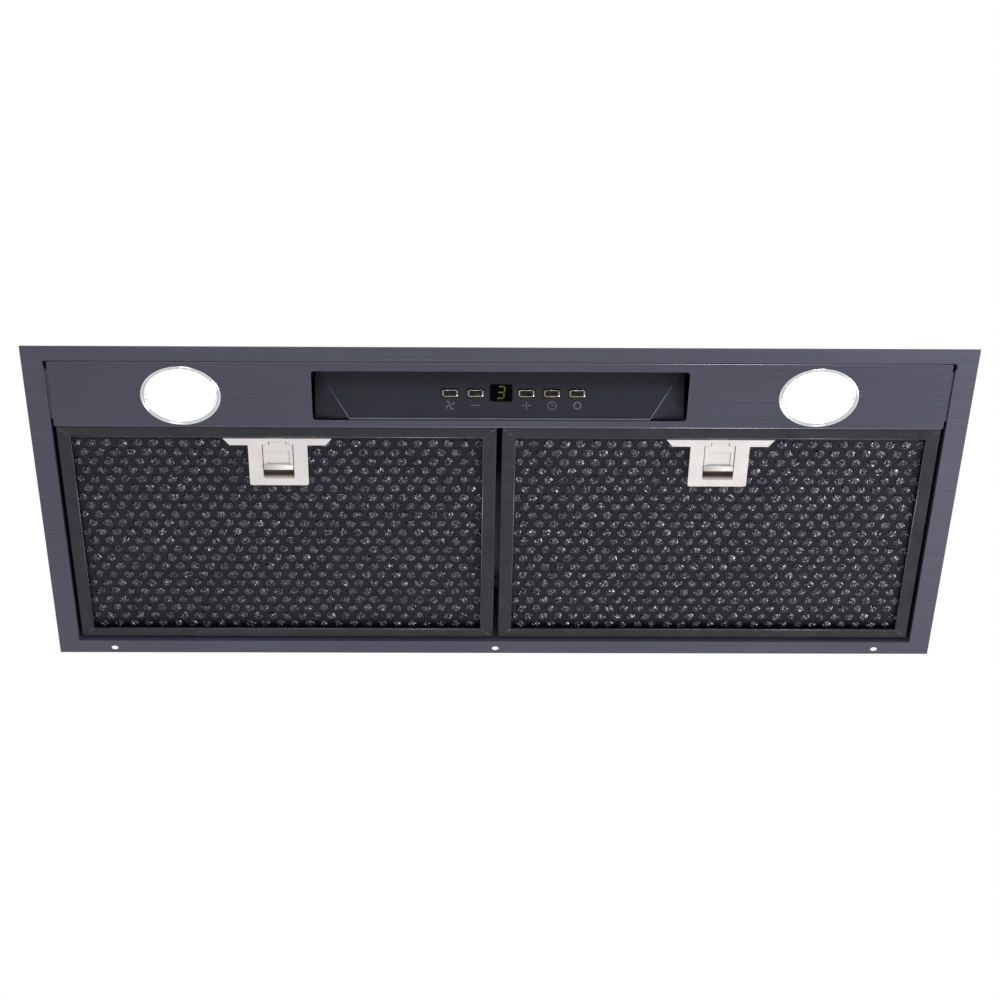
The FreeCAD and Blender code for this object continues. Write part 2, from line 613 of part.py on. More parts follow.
# ---- Electronics on the roof ---------------------------------------------------------------
def electronics_box():
    """Open plastic tray that stands on the roof beside the blower box."""
    outer = block(TRAY_X0, TRAY_X1, TRAY_Y0, TRAY_Y1, BOX_Z, BOX_Z + TRAY_HEIGHT)
    inside = block(TRAY_X0 + TRAY_WALL, TRAY_X1 - TRAY_WALL, TRAY_Y0 + TRAY_WALL, TRAY_Y1 - TRAY_WALL,
                   BOX_Z + TRAY_WALL, BOX_Z + TRAY_HEIGHT + 1)
    wire = V(TRAY_X0 + 20, TRAY_Y0 + 20, BOX_Z - 1)
    gland = gland_centre()
    tools = [inside, rod(WIRE_HOLE_RADIUS, wire, wire + V(0, 0, 5)),
             rod(GLAND_RADIUS + 0.1, gland - V(0, 10, 0), gland + V(0, 10, 0))]
    return cut_all(outer, tools)


def gland_centre():
    """Where the supply cable enters, in the tray's rear wall."""
    return V(TRAY_X1 - 30, TRAY_Y1, BOX_Z + TRAY_HEIGHT / 2)


def electronics_lid():
    """Lid with a lip that drops inside the tray."""
    top = BOX_Z + TRAY_HEIGHT
    plate = block(TRAY_X0 - 1, TRAY_X1 + 1, TRAY_Y0 - 1, TRAY_Y1 + 1, top, top + TRAY_WALL)
    grip = TRAY_WALL + 0.2
    lip = block(TRAY_X0 + grip, TRAY_X1 - grip, TRAY_Y0 + grip, TRAY_Y1 - grip, top - 4, top)
    hollow = block(TRAY_X0 + grip + 1.5, TRAY_X1 - grip - 1.5, TRAY_Y0 + grip + 1.5, TRAY_Y1 - grip - 1.5,
                   top - 5, top)
    return plate.fuse(lip).cut(hollow).removeSplitter()


def power_board():
    """Circuit board with its relays and transformer, on the tray's floor posts."""
    floor = BOX_Z + TRAY_WALL
    x0 = TRAY_X0 + 30
    y0 = TRAY_Y0 + 12
    pieces = [block(x0, x0 + 80, y0, y0 + 96, floor + 4, floor + 5.6)]
    for dx in (6, 74):
        for dy in (6, 90):
            pieces.append(rod(3, V(x0 + dx, y0 + dy, floor), V(x0 + dx, y0 + dy, floor + 4)))
    pieces.append(block(x0 + 42, x0 + 72, y0 + 54, y0 + 86, floor + 5.6, floor + 30))
    for index in range(3):
        pieces.append(block(x0 + 10, x0 + 26, y0 + 14 + 26 * index, y0 + 33 + 26 * index,
                            floor + 5.6, floor + 21))
    return fused(pieces)


def run_capacitor():
    """Motor run capacitor lying beside the board."""
    x = TRAY_X1 - TRAY_WALL - 14
    z = BOX_Z + TRAY_WALL + 13.2
    return rod(12.5, V(x, TRAY_Y0 + 10, z), V(x, TRAY_Y0 + 70, z))


def terminal_block():
    """Three-way screw terminal near the cable gland."""
    floor = BOX_Z + TRAY_WALL
    x0 = TRAY_X1 - 52
    y0 = TRAY_Y1 - 42
    body = block(x0, x0 + 36, y0, y0 + 16, floor, floor + 16)
    tools = []
    for index in range(3):
        x = x0 + 6 + 12 * index
        tools.append(rod(2.6, V(x, y0 + 8, floor + 8), V(x, y0 + 8, floor + 20)))
        tools.append(rod(2.0, V(x, y0 - 1, floor + 5), V(x, y0 + 17, floor + 5)))
    return cut_all(body, tools)


def cable_gland():
    """Round bush with an outer flange and a locking ring inside the tray's wall."""
    centre = gland_centre()
    inside = centre - V(0, TRAY_WALL + 6, 0)
    body = rod(GLAND_RADIUS, inside, centre + V(0, 12, 0))
    flange = rod(GLAND_RADIUS + 3, centre, centre + V(0, 4, 0))
    ring = rod(GLAND_RADIUS + 3, centre - V(0, TRAY_WALL + 4, 0), centre - V(0, TRAY_WALL, 0))
    bore = rod(GLAND_BORE, inside - V(0, 1, 0), centre + V(0, 13, 0))
    return fused([body, flange, ring]).cut(bore)


# ---- Front fascia ------------------------------------------------------------------------------
def front_panel():
    """Fascia tray with rolled edges, two lamp holes, the control opening and two latch keepers."""
    length = V(PANEL_HALF * 2, 0, 0)
    outer = block(-PANEL_HALF, PANEL_HALF, PANEL_Y0, PANEL_Y1, PANEL_LIFT, PANEL_LIFT + 40)
    outer = rounded(outer, length, PANEL_BEND)
    inner = block(-PANEL_HALF - 1, PANEL_HALF + 1, PANEL_Y0 + SHEET, PANEL_Y1 - SHEET, PANEL_TOP, PANEL_TOP + 60)
    inner = rounded(inner, length, PANEL_BEND - SHEET)
    body = outer.cut(inner)
    body = body.cut(block(-PANEL_HALF, PANEL_HALF, 0, DEPTH, PANEL_LIFT + PANEL_REAR_RETURN, 100))
    body = body.cut(block(-PANEL_HALF, PANEL_HALF, 0, PANEL_Y0 + 5, PANEL_LIFT + PANEL_FRONT_RETURN, 100))
    opening = block(-CUTOUT_HALF, CUTOUT_HALF, CUTOUT_FRONT, CUTOUT_REAR, -1, 4)
    tools = [rounded(opening, V(0, 0, 1), 3.0)]
    for side, _ in SIDES:
        lamp_x = side * LAMP_PITCH / 2
        tools.append(rod(LAMP_NECK_RADIUS + 0.3, V(lamp_x, LAMP_Y, -1), V(lamp_x, LAMP_Y, 5)))
        latch_x = side * FILTER_X
        tools.append(block(latch_x - TONGUE_HALF - 1, latch_x + TONGUE_HALF + 1, PANEL_Y1 - 2, PANEL_Y1 + 1,
                           FILTER_Z + 1.5, FILTER_Z + 5))
    return cut_all(body, tools)


def panel_bracket(side):
    """Angle that carries one end of the fascia from the canopy's side wall."""
    wall_x = side * (OPEN_HALF - SHEET)
    inner_x = side * (OPEN_HALF - BRACKET_WIDTH)
    y0 = LAMP_Y - 25
    y1 = LAMP_Y + 25
    upright = block(*sorted((wall_x, side * OPEN_HALF)), y0, y1, PANEL_TOP, BRACKET_TOP)
    shelf = block(*sorted((inner_x, wall_x)), y0, y1, PANEL_TOP, PANEL_TOP + SHEET)
    bores = [screw_bore(seat, V(side, 0, 0)) for seat in bracket_screw_seats(side)]
    return cut_all(upright.fuse(shelf).removeSplitter(), bores)


# ---- Lamps ---------------------------------------------------------------------------------------
def lamp_bezel(x):
    """Turned trim ring: a rim under the fascia, a shadow groove and a neck through the hole."""
    under = PANEL_LIFT
    profile = [(26.2, 0.3), (27.2, 0.0), (27.4, 0.0), (27.5, 0.5), (28.0, 0.5), (28.1, 0.0),
               (LAMP_RADIUS - 0.4, 0.0), (LAMP_RADIUS, 0.4), (LAMP_RADIUS, under),
               (LAMP_NECK_RADIUS, under), (LAMP_NECK_RADIUS, 8.0), (26.2, 8.0)]
    return turned(profile, x, LAMP_Y)


def lamp_lens(x):
    """Frosted disc with a shallow dome."""
    radius = LAMP_LENS_RADIUS
    return turned([(0, 0.1), (radius * 0.6, 0.3), (radius - 0.6, 0.9), (radius, 1.4), (radius, 2.9), (0, 2.9)],
                  x, LAMP_Y)


def lamp_body(x):
    """Aluminium can that closes the lamp and cools it, with turned fins."""
    fin = LAMP_NECK_RADIUS - 1
    profile = [(0, 6.0), (25.9, 6.0), (25.9, 8.0), (fin, 8.0), (fin, 9.0)]
    for index in range(3):
        z = 9.0 + 3 * index
        profile += [(24.0, z), (24.0, z + 1.5), (fin, z + 1.5), (fin, z + 3)]
    profile += [(LAMP_NECK_RADIUS - 4, LAMP_HEIGHT), (0, LAMP_HEIGHT)]
    return turned(profile, x, LAMP_Y)


def led_board(x):
    """Round board behind the lens with a ring of light-emitting chips."""
    board = rod(25.6, V(x, LAMP_Y, 4.6), V(x, LAMP_Y, 6.0))
    chips = []
    for index in range(9):
        angle = math.radians(40 * index)
        chip_x = x + 16 * math.cos(angle)
        chip_y = LAMP_Y + 16 * math.sin(angle)
        chips.append(block(chip_x - 1.5, chip_x + 1.5, chip_y - 1.5, chip_y + 1.5, 3.8, 4.6))
    return fused([board] + chips)


def lamp_clips(x):
    """Two leaf springs that press the bezel down on the fascia from inside."""
    clips = []
    for side in (-1, 1):
        base = x + side * LAMP_NECK_RADIUS
        points = [V(base, LAMP_Y - 4, 7.8), V(base, LAMP_Y - 4, 5.0), V(base + side * 6, LAMP_Y - 4, PANEL_TOP + 0.6),
                  V(base + side * 9, LAMP_Y - 4, PANEL_TOP + 1.6)]
        clips.append(strip(points, 0.5, V(0, 8 * side, 0)))
        if side < 0:
            clips[-1].translate(V(0, 8, 0))
    return clips


# ---- Control insert ----------------------------------------------------------------------------------
def key_centres():
    """x of the five keys; the display takes the place between the second and the third."""
    return [KEY_ROW_X + KEY_PITCH * place for place in (-2, -1, 1, 2, 3)]


def corner_points(side):
    """The three corners of the flat that cuts one rear corner off the key face."""
    tilt = math.radians(FACE_TILT)
    apex = V(side * INSERT_HALF, RIDGE_Y - FACE_LENGTH * math.cos(tilt),
             PANEL_LIFT + FACE_LENGTH * math.sin(tilt))
    ridge = V(side * RIDGE_HALF, RIDGE_Y, PANEL_LIFT)
    outer = V(side * INSERT_HALF, CUTOUT_REAR - 0.4, PANEL_LIFT + CORNER_DROP)
    return [apex, ridge, outer]


def board_outline():
    """x0, x1, y0, y1 of the control board, on the key face."""
    x = key_centres()
    return x[0] - BOARD_MARGIN, x[-1] + BOARD_MARGIN, -KEY_UP_FACE - BOARD_UP, -KEY_UP_FACE + BOARD_DOWN


def board_posts():
    """x, y of the posts that the control board stands on, on the key face."""
    x0, x1, y0, y1 = board_outline()
    return [(x, y) for x in (x0 + POST_INSET, x1 - POST_INSET) for y in (y0 + POST_INSET, y1 - POST_INSET)]


def control_insert():
    """Moulded trough: a front wall, the leaning key face, a ridge with a lip, and two cut corners."""
    half = INSERT_HALF
    wall = INSERT_WALL
    back = -FACE_LENGTH
    face = block(-half, half, back - wall, 0, 0, wall)
    front = block(-half, half, back - wall, back, -60, wall)
    trough = on_face(face.fuse(front))
    trough = trough.common(block(-half, half, 0, DEPTH, PANEL_LIFT, 100))
    trough = trough.cut(block(-half, half, 0, 30, 0, PANEL_TOP))
    foot = PANEL_TOP + 1.5
    front_foot = block(-half, half, PANEL_Y0 + 3, 25.2, PANEL_TOP, foot)
    lip = block(-RIDGE_HALF, RIDGE_HALF, RIDGE_Y - 1, CUTOUT_REAR - 0.4, PANEL_LIFT, foot)
    rear_foot = block(-RIDGE_HALF, RIDGE_HALF, RIDGE_Y, PANEL_Y1 - 4, PANEL_TOP, foot)
    pieces = [trough, front_foot, lip, rear_foot]
    below = []
    for side, _ in SIDES:
        apex, ridge, outer = corner_points(side)
        inward = (ridge - apex).cross(outer - apex).normalize()
        if inward.z < 0:
            inward = inward * -1
        below.append(extruded([apex, ridge, outer], inward * -12))
        pieces.append(extruded([apex, ridge, outer], inward * wall))
    for x, y in board_posts():
        pieces.append(on_face(rod(POST_RADIUS, V(x, y, wall - 0.5), V(x, y, BOARD_DEPTH))))
        pieces.append(on_face(rod(POST_PIN_RADIUS, V(x, y, BOARD_DEPTH - 1), V(x, y, BOARD_DEPTH + 2.4))))
    body = pieces[0].cut(Part.makeCompound(below))
    body = fused([body] + pieces[1:])
    body = body.common(block(-half, half, 0, PANEL_Y1, 0, 100))
    tools = []
    for x in key_centres():
        tools.append(on_face(rounded_plate(x, -KEY_UP_FACE, KEY_WIDTH + 2 * KEY_CLEARANCE,
                                           KEY_HEIGHT + 2 * KEY_CLEARANCE, -1, wall + 1, 1.6)))
    tools.append(on_face(rounded_plate(KEY_ROW_X, -KEY_UP_FACE - 0.4, DISPLAY_WIDTH, DISPLAY_HEIGHT,
                                       -1, wall + 1, 2.0)))
    return cut_all(body, tools)


def key(x):
    """Bevelled key with a retaining flange behind the face and a stem into its switch."""
    y = -KEY_UP_FACE
    cap = rounded_plate(x, y, KEY_WIDTH, KEY_HEIGHT, -KEY_PROUD, 3.0, 1.3)
    rim = [edge for edge in cap.Edges if edge.BoundBox.ZMax < -KEY_PROUD + 0.01]
    cap = cap.makeChamfer(0.6, rim)
    flange = rounded_plate(x, y, KEY_WIDTH + 2.6, KEY_HEIGHT + 2.6, INSERT_WALL + 0.2, INSERT_WALL + 1.2, 1.6)
    stem_end = BOARD_DEPTH - SWITCH_FLOOR - KEY_TRAVEL - KEY_CLEARANCE
    stem = rod(1.6, V(x, y, INSERT_WALL + 1), V(x, y, stem_end))
    return on_face(fused([cap, flange, stem]))


def key_switches():
    """Five switch housings on the board, each with a bore for its key's stem."""
    housings = []
    for x in key_centres():
        y = -KEY_UP_FACE
        housing = block(x - 3.5, x + 3.5, y - 3.5, y + 3.5, BOARD_DEPTH - 4, BOARD_DEPTH)
        housings.append(on_face(housing.cut(rod(1.8, V(x, y, BOARD_DEPTH - 5), V(x, y, BOARD_DEPTH - SWITCH_FLOOR)))))
    return housings


def control_board():
    """Circuit board that carries the switches and the display."""
    board = block(*board_outline(), BOARD_DEPTH, BOARD_DEPTH + BOARD_SHEET)
    bores = [rod(POST_PIN_RADIUS + 0.1, V(x, y, 0), V(x, y, 20)) for x, y in board_posts()]
    return on_face(cut_all(board, bores))


def display_window():
    """Dark glossy pane behind the display opening."""
    return on_face(rounded_plate(KEY_ROW_X, -KEY_UP_FACE - 0.4, DISPLAY_WIDTH + 4, DISPLAY_HEIGHT + 4,
                                 INSERT_WALL, INSERT_WALL + 1.2, 1.0))


def display_module():
    """Single-digit display between the pane and the board."""
    y = -KEY_UP_FACE - 0.4
    return on_face(block(KEY_ROW_X - 7, KEY_ROW_X + 7, y - 8, y + 8, INSERT_WALL + 1.4, BOARD_DEPTH))


def control_cover():
    """Cover that shields the board from grease, standing on the back of the key face."""
    x0, x1, y0, y1 = board_outline()
    deep = BOARD_DEPTH + COVER_DEPTH
    room = (x0 - COVER_ROOM, x1 + COVER_ROOM, y0 - COVER_ROOM_UP, y1 + COVER_ROOM_DOWN)
    outside = (room[0] - COVER_WALL, room[1] + COVER_WALL, room[2] - COVER_WALL, room[3] + COVER_WALL)
    outer = block(*outside, INSERT_WALL, deep)
    inner = block(*room, INSERT_WALL - 1, deep - COVER_WALL)
    return on_face(outer.cut(inner))


# ---- Grease filters ------------------------------------------------------------------------------------
def tab_centres(side):
    """x of the two rear tabs of one filter."""
    return [side * FILTER_X - FILTER_WIDTH / 4, side * FILTER_X + FILTER_WIDTH / 4]


def filter_outline(inset):
    """x0, x1, y0, y1 of the right-hand filter, drawn in by inset."""
    half = FILTER_WIDTH / 2 - inset
    return FILTER_X - half, FILTER_X + half, FILTER_Y0 + inset, FILTER_Y1 - inset


def filter_rails():
    """Four mitred channel rails of the right-hand filter and its two rear tabs."""
    sheet = FILTER_SHEET
    step = 4.0
    ring = block(*filter_outline(0), FILTER_Z, FILTER_TOP)
    ring = ring.cut(block(*filter_outline(RAIL), FILTER_Z - 1, FILTER_TOP + 1))
    visible = [edge for edge in ring.Edges if edge.BoundBox.ZMax < FILTER_Z + 0.01]
    ring = ring.makeFillet(RAIL_EDGE, visible)
    ring = ring.cut(block(*filter_outline(step), FILTER_Z + 1.6, FACING_Z))
    ring = ring.cut(block(*filter_outline(sheet), FACING_Z, FILTER_TOP - sheet))
    slot = block(FILTER_X - TONGUE_HALF - 0.6, FILTER_X + TONGUE_HALF + 0.6, FILTER_Y0 - 1,
                 FILTER_Y0 + step + 1, FILTER_Z + 1.8, FACING_Z - 0.2)
    ring = ring.cut(slot)
    x0, x1, y0, y1 = filter_outline(0)
    corners = [V(x0, y0, 0), V(x1, y0, 0), V(x1, y1, 0), V(x0, y1, 0)]
    reach = RAIL * 1.4
    insides = [V(x0 + reach, y0 + reach, 0), V(x1 - reach, y0 + reach, 0),
               V(x1 - reach, y1 - reach, 0), V(x0 + reach, y1 - reach, 0)]
    gap = 0.1
    shifts = [V(0, -gap, 0), V(gap, 0, 0), V(0, gap, 0), V(-gap, 0, 0)]
    rails = []
    for index in range(4):
        after = (index + 1) % 4
        cell = extruded([corners[index], corners[after], insides[after], insides[index]],
                        V(0, 0, FILTER_TOP + 5))
        cell.translate(shifts[index])
        rails.append(ring.common(cell))
    for x in tab_centres(1):
        tab = block(x - TAB_WIDTH / 2, x + TAB_WIDTH / 2, FILTER_Y1 - 1, FILTER_Y1 + 2.2,
                    FILTER_TOP - 3.5, FILTER_TOP - 2.5)
        rails[2] = rails[2].fuse(tab)
    return [rail.removeSplitter() for rail in rails]


def latch_well(grow):
    """x0, x1, y0, y1 of the latch's moulded well, grown by a clearance."""
    half = SLIDER_WIDTH / 2 + SLIDER_GAP + LATCH_WALL + grow
    y0 = LATCH_Y + LATCH_WALL
    length = SLIDER_GAP + SLIDER_LENGTH + LATCH_TRAVEL + FINGER_ROOM + 2 * LATCH_WALL
    return FILTER_X - half, FILTER_X + half, y0 - grow, y0 + length + grow


def filter_facing():
    """Perforated sheet of the right-hand filter: staggered round holes and the latch opening."""
    x0, x1, y0, y1 = filter_outline(FILTER_SHEET + 0.2)
    outline = [V(x0, y0, FACING_Z), V(x1, y0, FACING_Z), V(x1, y1, FACING_Z), V(x0, y1, FACING_Z)]
    wires = [Part.makePolygon(outline + outline[:1])]
    hx0, hx1, hy0, hy1 = latch_well(0.3)
    opening = [V(hx0, hy0, FACING_Z), V(hx1, hy0, FACING_Z), V(hx1, hy1, FACING_Z), V(hx0, hy1, FACING_Z)]
    wires.append(Part.makePolygon(opening + opening[:1]))
    wx0, wx1, wy0, wy1 = filter_outline(RAIL - UNDER_RAIL)
    columns = int((wx1 - wx0) / HOLE_PITCH) // 2 + 1
    rows = int((wy1 - wy0) / ROW_PITCH) // 2 + 1
    lx0, lx1, ly0, ly1 = latch_well(HOLE_RADIUS + 2)
    for row in range(-rows, rows + 1):
        shift = HOLE_PITCH / 2 if row % 2 else 0
        for column in range(-columns, columns + 1):
            x = FILTER_X + column * HOLE_PITCH + shift
            y = (FILTER_Y0 + FILTER_Y1) / 2 + row * ROW_PITCH
            behind_latch = lx0 < x < lx1 and ly0 < y < ly1
            if behind_latch or not (wx0 <= x <= wx1 and wy0 <= y <= wy1):
                continue
            circle = Part.makeCircle(HOLE_RADIUS, V(x, y, FACING_Z), V(0, 0, 1))
            wires.append(Part.Wire(circle))
    return Part.Face(wires).extrude(V(0, 0, FACING_SHEET))


def filter_mesh():
    """Three layers of expanded foil behind the facing, each as a thin sheet."""
    layers = []
    for index in range(FOIL_LAYERS):
        z = FACING_Z + FACING_SHEET + FOIL_STEP * (index + 0.5)
        layer = block(*filter_outline(FILTER_SHEET + 0.2), z, z + FOIL_SHEET)
        layers.append(layer.cut(block(*latch_well(0.3), FACING_Z - 1, FILTER_TOP + 1)))
    return layers


# ---- Filter latches ------------------------------------------------------------------------------------
def latch_plate():
    """T-shaped latch moulding: the visible plate, a skirt under it and the well the slider runs in."""
    x = FILTER_X
    z0 = FILTER_Z + 0.5
    z1 = z0 + LATCH_PLATE
    wing = LATCH_WING / 2
    inner_wing = wing - LATCH_WING_DEPTH * 0.7
    wing_y = LATCH_Y + LATCH_WING_DEPTH
    wings = extruded([V(x - wing, LATCH_Y, z0), V(x + wing, LATCH_Y, z0), V(x + inner_wing, wing_y, z0),
                      V(x - inner_wing, wing_y, z0)], V(0, 0, LATCH_PLATE))
    half = LATCH_BODY / 2
    end_y = LATCH_Y + LATCH_LENGTH
    plate = rounded(block(x - half, x + half, LATCH_Y + 2, end_y, z0, z1), V(0, 0, 1), 1.8)
    skirt = block(x - half + 0.5, x + half - 0.5, LATCH_Y + 2.5, end_y - 0.5, z1, FACING_Z)
    skirt = skirt.cut(block(x - half + 2, x + half - 2, LATCH_Y + 4, end_y - 2, z1 - 1, FACING_Z + 1))
    well = block(*latch_well(0), z1, FILTER_TOP - 1.5)
    body = fused([wings, plate, skirt, well])
    pocket = rounded(block(*latch_well(-LATCH_WALL), z0 - 1, FILTER_TOP - 2.7), V(0, 0, 1), 1.2)
    neck = SLIDER_NECK / 2 + SLIDER_GAP
    shoulder_y = slider_y0() + SLIDER_NECK_LENGTH - SLIDER_GAP
    shoulders = block(x - 20, x + 20, LATCH_Y, shoulder_y, z0 - 1, z1)
    shoulders = shoulders.cut(block(x - neck, x + neck, LATCH_Y, shoulder_y, z0 - 1, z1))
    tongue = block(x - TONGUE_HALF - SLIDER_GAP, x + TONGUE_HALF + SLIDER_GAP, LATCH_Y - 1,
                   LATCH_Y + 8, FILTER_Z + 2.1, FACING_Z - 0.2)
    rib = block(x - 4, x + 4, spring_y1(), spring_y1() + 1.2, FACING_Z + 0.2, FILTER_TOP - 2)
    return body.cut(pocket.cut(shoulders)).cut(tongue).fuse(rib).removeSplitter()


def slider_y0():
    """Front edge of the slider's visible head at rest."""
    return LATCH_Y + 2 * LATCH_WALL + SLIDER_GAP


def spring_y0():
    """Front end of the latch spring, against the slider's boss."""
    return slider_y0() + 3.5


def spring_y1():
    """Rear end of the latch spring, against the rib in the well."""
    return slider_y0() + SLIDER_LENGTH - 3.5


def latch_slider():
    """Sliding bolt: a head with a neck, a sunk middle and a finger ridge, a tongue and a spring boss."""
    x = FILTER_X
    y0 = slider_y0()
    y1 = y0 + SLIDER_LENGTH
    half = SLIDER_WIDTH / 2
    z0 = FILTER_Z + 1.0
    neck_half = SLIDER_NECK / 2
    ridge_y = y1 - RIDGE_RADIUS
    neck = block(x - neck_half, x + neck_half, y0, y0 + SLIDER_NECK_LENGTH + 1, z0, FACING_Z - 0.4)
    head = block(x - half, x + half, y0 + SLIDER_NECK_LENGTH, ridge_y, z0, FACING_Z - 0.4)
    head = head.cut(block(x - half + 2.5, x + half - 2.5, y0 + 10, ridge_y, z0 - 1, z0 + 0.7))
    ridge = rod(RIDGE_RADIUS, V(x - half, ridge_y, z0 + 1.4), V(x + half, ridge_y, z0 + 1.4))
    tongue = block(x - TONGUE_HALF, x + TONGUE_HALF, PANEL_Y1 + TONGUE_GAP, y0 + 1,
                   FILTER_Z + 2.3, FACING_Z - 0.5)
    boss = block(x - 3, x + 3, spring_y0() - 2, spring_y0(), z0 + 1, FILTER_TOP - 3.2)
    return fused([neck, head, ridge, tongue, boss])


def latch_spring():
    """Coil that pushes the bolt forward, from the slider's boss to the well's rib."""
    turns = 9
    wire = 0.25
    radius = 1.0
    z = FACING_Z + 1.45
    start = spring_y0() + wire
    length = spring_y1() - spring_y0() - 2 * wire
    helix = Part.makeHelix(length / turns, length, radius)
    profile = Part.Wire(Part.makeCircle(wire, V(radius, 0, 0), V(0, 1, 0)))
    coil = Part.Wire(helix).makePipeShell([profile], True, True)
    coil.rotate(V(0, 0, 0), V(1, 0, 0), -90)
    coil.translate(V(FILTER_X, start, z))
    return coil


# ---- Cabinet clips --------------------------------------------------------------------------------------
def mounting_clips():
    """Four leaf springs outside the side walls that grip the cabinet's cut-out."""
    clips = []
    for side, _ in SIDES:
        wall = side * (OPEN_HALF + SHEET)
        for y in (90.0, DEPTH - 110.0):
            points = [V(wall, y, 44), V(wall, y, 32), V(wall + side * 9, y, 19), V(wall + side * 4, y, 12)]
            clip = strip(points, 0.8, V(0, 20 * side, 0))
            if side < 0:
                clip.translate(V(0, 20, 0))
            clips.append(clip)
    return clips


# ---- Export ---------------------------------------------------------------------------------------------
save("canopy_frame", canopy_frame())
save("roof_panel", roof_panel())
save("blower_box", blower_box())
save("outlet_collar", outlet_collar())
save("damper_pin", damper_rod(DAMPER_PIN_RADIUS, COLLAR_RADIUS - 0.1))
save("damper_flap_front", damper_flap(-1, (-40, 22)))
save("damper_flap_rear", damper_flap(1, (-22, 40)))
save("front_panel", front_panel())
save("panel_brackets", *[panel_bracket(side) for side, _ in SIDES])
save("control_insert", control_insert())
save("control_board", control_board())
save("control_cover", control_cover())
save("key_switches", *key_switches())
save("display_window", display_window())
save("display_module", display_module())
for key_name, key_x in zip(("fan", "minus", "plus", "timer", "light"), key_centres()):
    save("key_" + key_name, key(key_x))

for side, side_name in SIDES:
    lamp_x = side * LAMP_PITCH / 2
    save("lamp_bezel_" + side_name, lamp_bezel(lamp_x))
    save("lamp_lens_" + side_name, lamp_lens(lamp_x))
    save("lamp_body_" + side_name, lamp_body(lamp_x))
save("lamp_led_boards", *[led_board(side * LAMP_PITCH / 2) for side, _ in SIDES])
save("lamp_clips", *[clip for side, _ in SIDES for clip in lamp_clips(side * LAMP_PITCH / 2)])

right_filter = {
    "filter_frame": filter_rails(),
    "filter_facing": [filter_facing()],
    "filter_mesh": filter_mesh(),
    "latch_plate": [latch_plate()],
    "latch_slider": [latch_slider()],
    "latch_spring": [latch_spring()],
}
for piece_name, solids in right_filter.items():
    save(piece_name + "_right", *solids)
    save(piece_name + "_left", *[mirrored(solid) for solid in solids])

save("scroll_left", scroll_half(-1))
save("scroll_right", scroll_half(1))
save("impeller", impeller())
save("motor_can_left", motor_can(MOTOR_BACK, MOTOR_SPLIT))
save("motor_can_right", motor_can(MOTOR_NOSE, MOTOR_SPLIT))
save("motor_bearings", *motor_bearings())
save("stator_core", ring_along_shaft(STATOR_X0, STATOR_X1, ROTOR_RADIUS + AIR_GAP, MOTOR_RADIUS - MOTOR_WALL - 0.1))
save("stator_windings", *stator_windings())
save("rotor_core", ring_along_shaft(STATOR_X0, STATOR_X1, SHAFT_RADIUS + 0.02, ROTOR_RADIUS))
save("motor_shaft", motor_shaft())
save("motor_bracket", motor_bracket())
save("motor_grommets", *motor_grommets())

save("electronics_box", electronics_box())
save("electronics_lid", electronics_lid())
save("power_board", power_board())
save("run_capacitor", run_capacitor())
save("terminal_block", terminal_block())
save("cable_gland", cable_gland())
save("mounting_clips", *mounting_clips())

hood_screws = [screw(seat, V(0, 0, -1)) for seat in roof_screw_seats() + box_screw_seats()]
hood_screws += [screw(seat, V(0, 0, -1), length=6.0) for seat in collar_screw_seats()]
hood_screws += [screw(seat, V(side, 0, 0), length=4.0) for side, _ in SIDES for seat in bracket_screw_seats(side)]
hood_screws += [screw(V(MOTOR_SPLIT + MOTOR_WALL, y, z), V(1, 0, 0)) for y, z in bracket_feet()]
save("hood_screws", *hood_screws)
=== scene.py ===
# %% [markdown]
# # Dressing a built-in range hood
# A built-in hood hangs through a cut-out in a wall cabinet, so what people see is its
# underside: a flange, a fascia with two lamps and a small key strip, and two grease filters
# behind it.  The engineering model already holds every sheet, spring and screw in its true
# place.  It is loaded first and never moved.  This lesson gives each part its finish, and
# makes the small things that a drawing leaves plain.

import json
import math
import random

import bmesh
import bpy
from mathutils import Matrix, Vector


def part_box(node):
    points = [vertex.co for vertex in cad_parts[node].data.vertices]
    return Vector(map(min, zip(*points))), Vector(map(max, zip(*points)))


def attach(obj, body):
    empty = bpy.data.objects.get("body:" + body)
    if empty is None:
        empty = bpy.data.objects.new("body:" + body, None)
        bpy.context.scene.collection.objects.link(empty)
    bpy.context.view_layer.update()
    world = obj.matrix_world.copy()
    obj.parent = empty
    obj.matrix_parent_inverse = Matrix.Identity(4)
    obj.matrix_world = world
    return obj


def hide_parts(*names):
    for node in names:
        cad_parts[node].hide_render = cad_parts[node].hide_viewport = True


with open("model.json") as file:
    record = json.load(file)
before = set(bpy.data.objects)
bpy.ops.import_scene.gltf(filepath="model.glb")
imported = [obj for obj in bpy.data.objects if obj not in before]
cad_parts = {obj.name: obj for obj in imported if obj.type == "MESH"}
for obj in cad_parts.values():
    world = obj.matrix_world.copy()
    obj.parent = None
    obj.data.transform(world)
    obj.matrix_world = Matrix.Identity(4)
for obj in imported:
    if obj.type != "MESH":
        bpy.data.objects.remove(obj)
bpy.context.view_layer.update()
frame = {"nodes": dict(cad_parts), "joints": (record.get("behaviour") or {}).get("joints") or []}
nodes = frame["nodes"]

# %% [markdown]
# Every length here is in metres, which makes small parts hard to read.  One name for the
# millimetre lets the sizes below look like the ones on a workshop drawing.  The sides of the
# hood are named once too, because lamps, filters and latches all come in pairs.

# %% Units and sides
MM = 0.001
SIDES = ("left", "right")
ACROSS = Vector((1, 0, 0))

# %% [markdown]
# ## The camera
# The hood is looked at by a cook who bends down a little in front of it, so the camera
# stands low and in front and looks up.  A long lens keeps the flange's edges nearly
# parallel.  The camera aims just in front of the middle of the flange and leans by under a
# degree, which lets the flange's right end ride slightly lower than its left.

